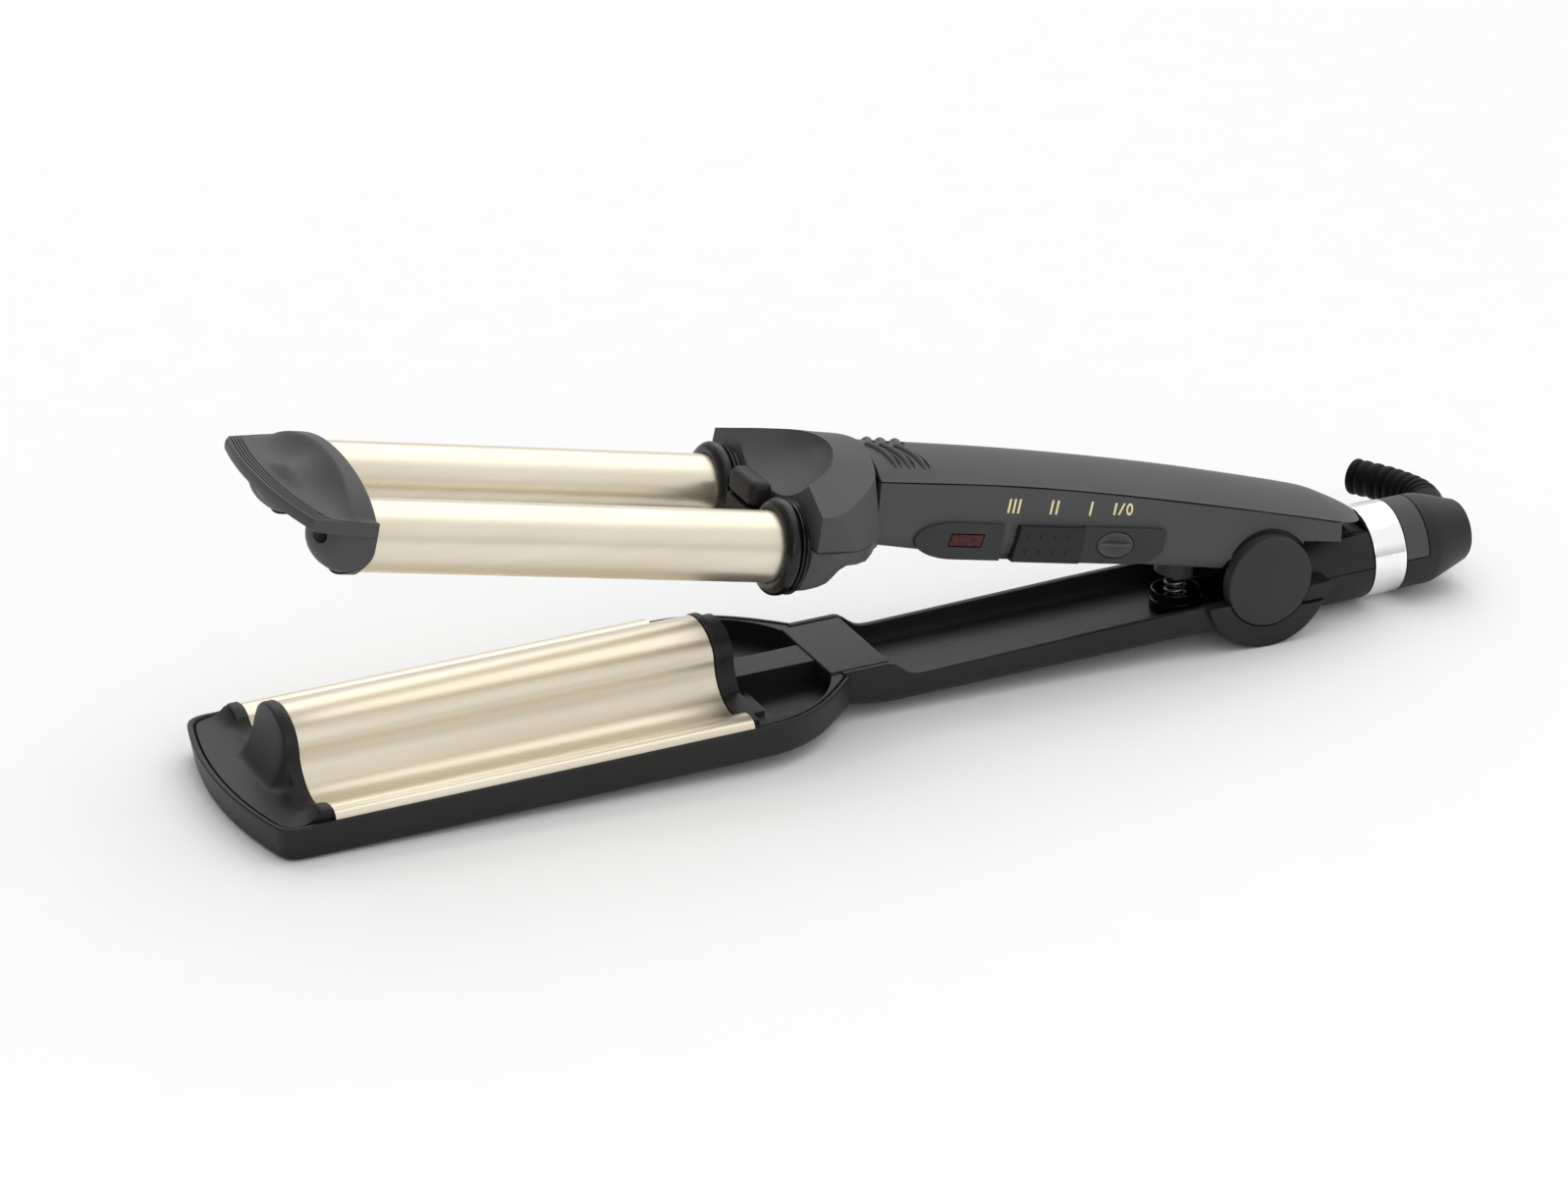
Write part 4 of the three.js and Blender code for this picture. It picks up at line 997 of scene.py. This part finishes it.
# Upper arm: handle lid, tub and vents
# The lid's rows hold place, crown, seam and half width; the tub's hold place, seam, half width, crease and foot
handle = {"wall": 2.0, "tailWall": 1.1,
          "lid": [(-123.2, 47.9, 42.9, 15.6), (-86, 46.9, 43.1, 15.6), (-56, 45.7, 42, 15.7),
                  (-24, 43.7, 39.9, 15.8), (8, 40.5, 37.2, 15.7), (18, 39.3, 36.2, 15.45), (22.4, 38.6, 35.7, 15.0),
                  (26, 37.6, 35.1, 13.6), (29, 36.7, 34.6, 11.6), (31.6, 35.8, 34.2, 9), (33.4, 35.1, 33.9, 6),
                  (34.5, 34.5, 33.7, 2.6)],
          "tub": [(-123.2, 42.9, 15.6, 28.9, 25.4), (-105, 43, 15.6, 28.7, 24.1), (-90, 43.1, 15.6, 28.4, 23.1),
                  (-60, 42.2, 15.7, 27.6, 22.5), (-28, 40.1, 15.8, 26, 21.6), (-8, 38.6, 15.8, 25, 21.3),
                  (8, 37.2, 15.7, 25, 21.3), (22.4, 35.7, 15.2, 25, 21.3)]}


# Height of the lid's top at a place
def crownAt(x, y):
    crown, seam, reach = rowAt(handle["lid"], x)
    return between(crown, seam, min(1, abs(y) / reach) ** 2)


def makeLid():
    rings = []
    steps = 14
    for x, crown, seam, reach in smoothRows(handle["lid"], 5):
        thick = handle["wall"] if x < 20 else handle["tailWall"]
        over = [(reach * i / steps, between(crown, seam, abs(i / steps) ** 2.05)) for i in range(-steps, steps + 1)]
        over[0], over[-1] = (-reach, seam + 0.12), (reach, seam + 0.12)
        inner = reach - min(thick, reach * 0.5)
        back = range(steps, -steps - 1, -1)
        under = [(inner * i / steps, between(crown - thick, seam, (i / steps) ** 2)) for i in back]
        rings.append([(x, y, z) for y, z in over + under])
    return skinRings("handle lid", rings)


# Raised vent arcs over the front of the lid, each with a slot behind it
vents = {"starts": [-121.0, -116.9, -112.4], "sweep": 4.0, "reach": 10.8, "bead": 0.92, "slot": 0.75}


def makeVents():
    beads, slots = [], []
    kinds = [(0, 0.05, vents["bead"], beads), (1.45, -0.1, vents["slot"], slots)]
    for start in vents["starts"]:
        for shift, lift, radius, store in kinds:
            path = []
            for i in range(-16, 17):
                t = i / 16
                y = vents["reach"] * t
                x = start + shift + vents["sweep"] * (1 - (1 - abs(t)) ** 2)
                path.append((x, y, crownAt(x, y) + lift))
            radii = [radius * min(1, 0.35 + 3 * (1 - abs(i) / 16)) for i in range(-16, 17)]
            store.append(sweepTube("vent", path, radii, 12))
    return beads, slots


lid = soften(makeLid(), 0.18, 2, 50)
beads, slots = makeVents()
combine(lid, *slots)
joinPieces(lid, *beads)
fit(lid, upperArm, "upper_arm", charcoalPlastic, "handle_black", ["handle_lid"], 40)


def makeTub():
    rings = []
    for x, seam, top, crease, foot in smoothRows(handle["tub"], 5):
        rim = seam - 0.28
        low = [(0, foot), (14.4, foot), (15.8, foot + 0.15), (16.7, foot + 0.6), (17.2, foot + 1.3)]
        side = [(18.05, crease - 0.8), (18.2, crease), (18.12, crease + 0.8), (top + 0.12, rim - 0.3), (top, rim)]
        half = low + side + [(top - 1.9, rim), (16.2, crease), (15.2, foot + 2.8), (0, foot + 2)]
        rings.append([(x, y, z) for y, z in mirrored(half)])
    tub = skinRings("handle tub", rings)
    combine(tub, rod("notch", 14.2, -30, 30, (0, 0, hingeHeight), "Y", 96),
            box("spring room", -11.4, 40, -14.4, 14.4, 15, 34), box("drum room", -11.4, 40, -30, 30, 15, 23.6),
            box("tail room", 10, 40, -30, 30, 15, 30.6))
    soften(tub, 0.3, 2, 40)
    bossProfile = [(4.4, 13.9), (5.2, 13.9), (5.4, 14.1), (5.4, 22.4), (4.4, 22.4)]
    boss = turned("boss", bossProfile, (spring["x"], 0, 0), "Z", 48)
    knuckles = []
    for s in (-1, 1):
        y0, y1 = sorted((10.2 * s, 13.8 * s))
        knuckles.append(turned("knuckle", [(3.1, y0), (8, y0), (8, y1), (3.1, y1)], (0, 0, hingeHeight), "Y", 48))
        knuckles.append(box("arm", -7, 7, y0, y1, hingeHeight + 4, 35.4))
    return joinPieces(tub, boss, *knuckles)


fit(makeTub(), upperArm, "upper_arm", charcoalPlastic, "handle_black", ["handle_tub"], 40)
print("handle made")

# Controls on the near side of the handle
panel = {"face": -19.1, "back": -16.4, "front": -111.8, "rear": -35, "low": 22.9, "high": 33.2, "middle": 28.3}


def panelOutline(grow=0.0):
    x0, x1 = panel["front"] - grow, panel["rear"] + grow
    z0, z1, m = panel["low"] - grow, panel["high"] + grow, panel["middle"]
    left = arcPoints(x0 + 12, m, 12, z1 - m, 90, 180, 10) + arcPoints(x0 + 12, m, 12, m - z0, 180, 270, 10)[1:]
    right = arcPoints(x1 - 10, m, 10, m - z0, 270, 360, 10) + [(x1, z1 - 1), (x1 - 0.3, z1 - 0.3), (x1 - 1, z1)]
    return left + right


buttonSpot = {"x": -50.5, "z": 28.5, "halfX": 5.6, "halfZ": 3.6}
lamp = {"x": -96.3, "z": 28.5, "halfX": 4.8, "halfZ": 1.65, "lean": 0.35}
slider = {"front": -82, "rear": -61, "slotFront": -85.3, "slotRear": -60.7}


def ovalOutline(x, z, halfX, halfZ, steps=48):
    return [(x + halfX * cos(2 * pi * i / steps), z + halfZ * sin(2 * pi * i / steps)) for i in range(steps)]


def makePanel():
    plate = soften(raised("control panel", panelOutline(), panel["face"], panel["back"], "Y"), 0.45, 3, 50)
    lampRoom = [(lamp["x"] + s * (lamp["halfX"] + 0.3) + lamp["lean"] * t, lamp["z"] + t * (lamp["halfZ"] + 0.3))
                for s, t in ((-1, -1), (1, -1), (1, 1), (-1, 1))]
    combine(plate, box("slider slot", slider["slotFront"], slider["slotRear"], -25, -17.3, 20, 40),
            box("slider way", slider["slotFront"] + 1, slider["slotRear"] - 5, -18, -10, 25, 32),
            raised("button bore", ovalOutline(buttonSpot["x"], buttonSpot["z"], 5.85, 3.85), -25, -10, "Y"),
            raised("lamp window", lampRoom, -25, -10, "Y"))
    return plate


def makeLampLens():
    outline = [(lamp["x"] + s * lamp["halfX"] + lamp["lean"] * t, lamp["z"] + t * lamp["halfZ"])
               for s, t in ((-1, -1), (1, -1), (1, 1), (-1, 1))]
    return soften(raised("lamp lens", outline, -19.15, -16.8, "Y"), 0.25, 3, 50)


def makeSlider():
    x0, x1, z0, z1 = slider["front"], slider["rear"], panel["low"] + 0.1, panel["high"] - 0.1
    pad = raised("heat slider", [(x0, z0), (x1, z0), (x1 + 0.2, z1), (x0 + 1.2, z1)], -20.0, -17.6, "Y")
    soften(pad, 0.35, 3, 50)
    grips = []
    for z in (26.0, 30.4):
        for x in (-78.0, -73.8, -69.6, -65.4):
            profile = [(0.001, -20.35), (0.35, -20.33), (0.62, -20.2), (0.78, -19.9), (0.001, -19.9)]
            grips.append(turned("grip", profile, (x, 0, z), "Y", 20))
    return joinPieces(pad, box("stem", -73.5, -69.5, -18, -14.6, 27, 30), *grips)


def makeButton():
    b = buttonSpot
    rings = []
    dish = [(1.0, -16.4), (1.0, -19.0), (0.985, -19.25), (0.95, -19.42), (0.9, -19.45), (0.8, -19.2),
            (0.6, -18.75), (0.35, -18.45), (0.1, -18.35), (0.01, -18.35)]
    for share, y in dish:
        rings.append([(x, y, z) for x, z in ovalOutline(b["x"], b["z"], b["halfX"] * share, b["halfZ"] * share)])
    cup = skinRings("power button", rings)
    bar = [(-5.0, -0.55), (5.0, -0.55), (5.3, 0), (5.0, 0.55), (-5.0, 0.55), (-5.3, 0)]
    rib = raised("rib", [(b["x"] + x, b["z"] + z) for x, z in bar], -19.55, -18.1, "Y")
    return joinPieces(cup, soften(rib, 0.22, 2, 30))


fit(makePanel(), upperArm, "upper_arm", panelPlastic, "handle_black", ["control_panel"])
fit(makeLampLens(), upperArm, "upper_arm", redWindow, "red_lens", ["lamp_lens"])
fit(makeSlider(), upperArm, "slider", jawPlastic, "jaw_black", ["heat_slider"])
fit(makeButton(), upperArm, "button", charcoalPlastic, "handle_black", ["power_button"])

# Printed marks on the slanting side above the panel: strokes laid on the surface
marks = {"low": 35.9, "high": 39.7, "stroke": 0.62, "depth": 0.05}


# Y of the tub's near side at a place
def sideSurface(x, z):
    seam, top, crease, _ = rowAt(handle["tub"], x)
    return -between(18.12, top + 0.12, (z - crease - 0.8) / (seam - 0.58 - crease - 0.8))


def makeStroke(points):
    rings = [[(x, sideSurface(x, z) + out, z) for x, z in points] for out in (-marks["depth"], 0.2)]
    return skinRings("stroke", rings)


def uprightStroke(x, low=None, high=None, lean=0.25):
    low, high = marks["low"] if low is None else low, marks["high"] if high is None else high
    w = marks["stroke"] / 2
    return makeStroke([(x - w - lean, low), (x + w - lean, low), (x + w + lean, high), (x - w + lean, high)])


def makeMarks():
    strokes = [uprightStroke(x) for x in (-83.9, -82.4, -80.9, -70.9, -69.2, -58.7)]
    strokes.append(uprightStroke(-51.2, 36.3, 39.5, 0.2))
    strokes.append(uprightStroke(-49.2, 36.3, 39.5, 0.75))
    outer, inner = ovalOutline(-46.7, 37.9, 1.05, 1.65, 24), ovalOutline(-46.7, 37.9, 0.5, 1.05, 24)
    rings = [[(x, sideSurface(x, z) + d, z) for x, z in line]
             for line, d in ((outer, 0.2), (outer, -marks["depth"]), (inner, -marks["depth"]), (inner, 0.2))]
    strokes.append(skinRings("zero", rings, loop=True))
    return joinPieces(strokes[0], *strokes[1:])


printed = makeMarks()
printed.name = "printed marks"
fit(printed, upperArm, "upper_arm", goldInk, "gold_coating", (), 40)
print("controls and marks made")

# Pieces kept from the frame: screws, pin, heaters, board and swivel barrel
kept = [(zincSteel, ["hinge_pin", "jaw_screw_front", "jaw_screw_rear", "cord_housing_screw", "head_screw_near",
                     "head_screw_far", "handle_screw_front", "handle_screw_rear"]),
        (heaterMetal, ["wave_plate_heater", "barrel_heater_near", "barrel_heater_far"]),
        (solderMask, ["circuit_board"]), (jawPlastic, ["swivel_barrel"])]
for material, nodeNames in kept:
    for nodeName in nodeNames:
        node = frame["nodes"][nodeName]
        node.data.materials.clear()
        node.data.materials.append(material)

# Studio: white floor, soft lights and the camera
studio = {"floor": 0.94, "horizon": 0.6, "zenith": 0.96, "noseSide": 0.38, "sun": 0.82, "sunWidth": 70, "strip": 0.3,
          "fill": 1.7, "rim": 0.6}


def makeFloor():
    size = 40
    corners = [(-size, -size, 0), (size, -size, 0), (size, size, 0), (-size, size, 0)]
    floor = newPiece("floor", corners, [(0, 1, 2, 3)])
    material, nodes, links, shader, place = startMaterial("white studio floor")
    specks = noise(nodes, links, place.outputs["Object"], 60, 2)
    dark, light = (studio["floor"] - 0.005,) * 3, (studio["floor"],) * 3
    links.new(twoTone(nodes, links, specks, dark, light), shader.inputs["Base Color"])
    shader.inputs["Roughness"].default_value = 0.9
    shader.inputs["Specular IOR Level"].default_value = 0.05
    floor.data.materials.append(material)


# Puts a light or a camera at a spot and turns it to face a target
def aimAt(thing, spot, target):
    thing.location = spot
    thing.rotation_euler = (Vector(target) - Vector(spot)).to_track_quat("-Z", "Y").to_euler()


def softLight(name, spot, target, size, power, long=None):
    data = bpy.data.lights.new(name, "AREA")
    data.shape = "RECTANGLE"
    data.size, data.size_y = size, long or size
    data.energy = power
    aimAt(addObject(name, data), spot, target)


# The room: brighter overhead than at the horizon, and darker beyond the nose
def makeRoom():
    world = bpy.data.worlds.new("white room")
    bpy.context.scene.world = world
    world.use_nodes = True
    nodes, links = world.node_tree.nodes, world.node_tree.links
    nodes["Background"].inputs["Color"].default_value = (1, 1, 1, 1)
    aim, split = nodes.new("ShaderNodeTexCoord"), nodes.new("ShaderNodeSeparateXYZ")
    links.new(aim.outputs["Generated"], split.inputs["Vector"])
    glow = nodes.new("ShaderNodeMath")
    glow.operation = "MULTIPLY"
    fades = [("Z", 0.0, 0.45, studio["horizon"], studio["zenith"]), ("X", -0.8, 0.15, studio["noseSide"], 1.0)]
    for slot, (axis, start, end, low, high) in enumerate(fades):
        ramp = nodes.new("ShaderNodeMapRange")
        ramp.interpolation_type = "SMOOTHSTEP"
        for word, value in (("From Min", start), ("From Max", end), ("To Min", low), ("To Max", high)):
            ramp.inputs[word].default_value = value
        links.new(split.outputs[axis], ramp.inputs["Value"])
        links.new(ramp.outputs["Result"], glow.inputs[slot])
    links.new(glow.outputs["Value"], nodes["Background"].inputs["Strength"])


def makeCeilingLight():
    data = bpy.data.lights.new("ceiling light", "SUN")
    data.energy, data.angle = studio["sun"], radians(studio["sunWidth"])
    ceiling = addObject("ceiling light", data)
    ceiling.rotation_euler = Vector((0.35, 0.45, 1)).to_track_quat("Z", "Y").to_euler()


view = {"spot": (-0.71476, -1.26878, 0.64076), "target": (-0.13781, 0, 0.03353), "lens": 130.587, "sensor": 36}


def makeCamera():
    data = bpy.data.cameras.new("camera")
    data.lens, data.sensor_width = view["lens"], view["sensor"]
    data.sensor_fit = "HORIZONTAL"
    data.clip_start, data.clip_end = 0.05, 100
    camera = addObject("camera", data)
    aimAt(camera, view["spot"], view["target"])
    bpy.context.scene.camera = camera


makeFloor()
makeRoom()
middle = (-0.13, 0, 0.04)
softLight("overhead strip", (-0.15, -0.2, 0.9), middle, 1.3, studio["strip"], 0.22)
softLight("front softbox", (-0.5, -1.3, 0.5), middle, 0.8, studio["fill"], 0.6)
softLight("rear strip", (0.0, 1.1, 0.7), middle, 1.5, studio["rim"], 0.25)
makeCeilingLight()
makeCamera()
bpy.context.scene.view_settings.view_transform = "Standard"
print("floor, lights and camera placed")
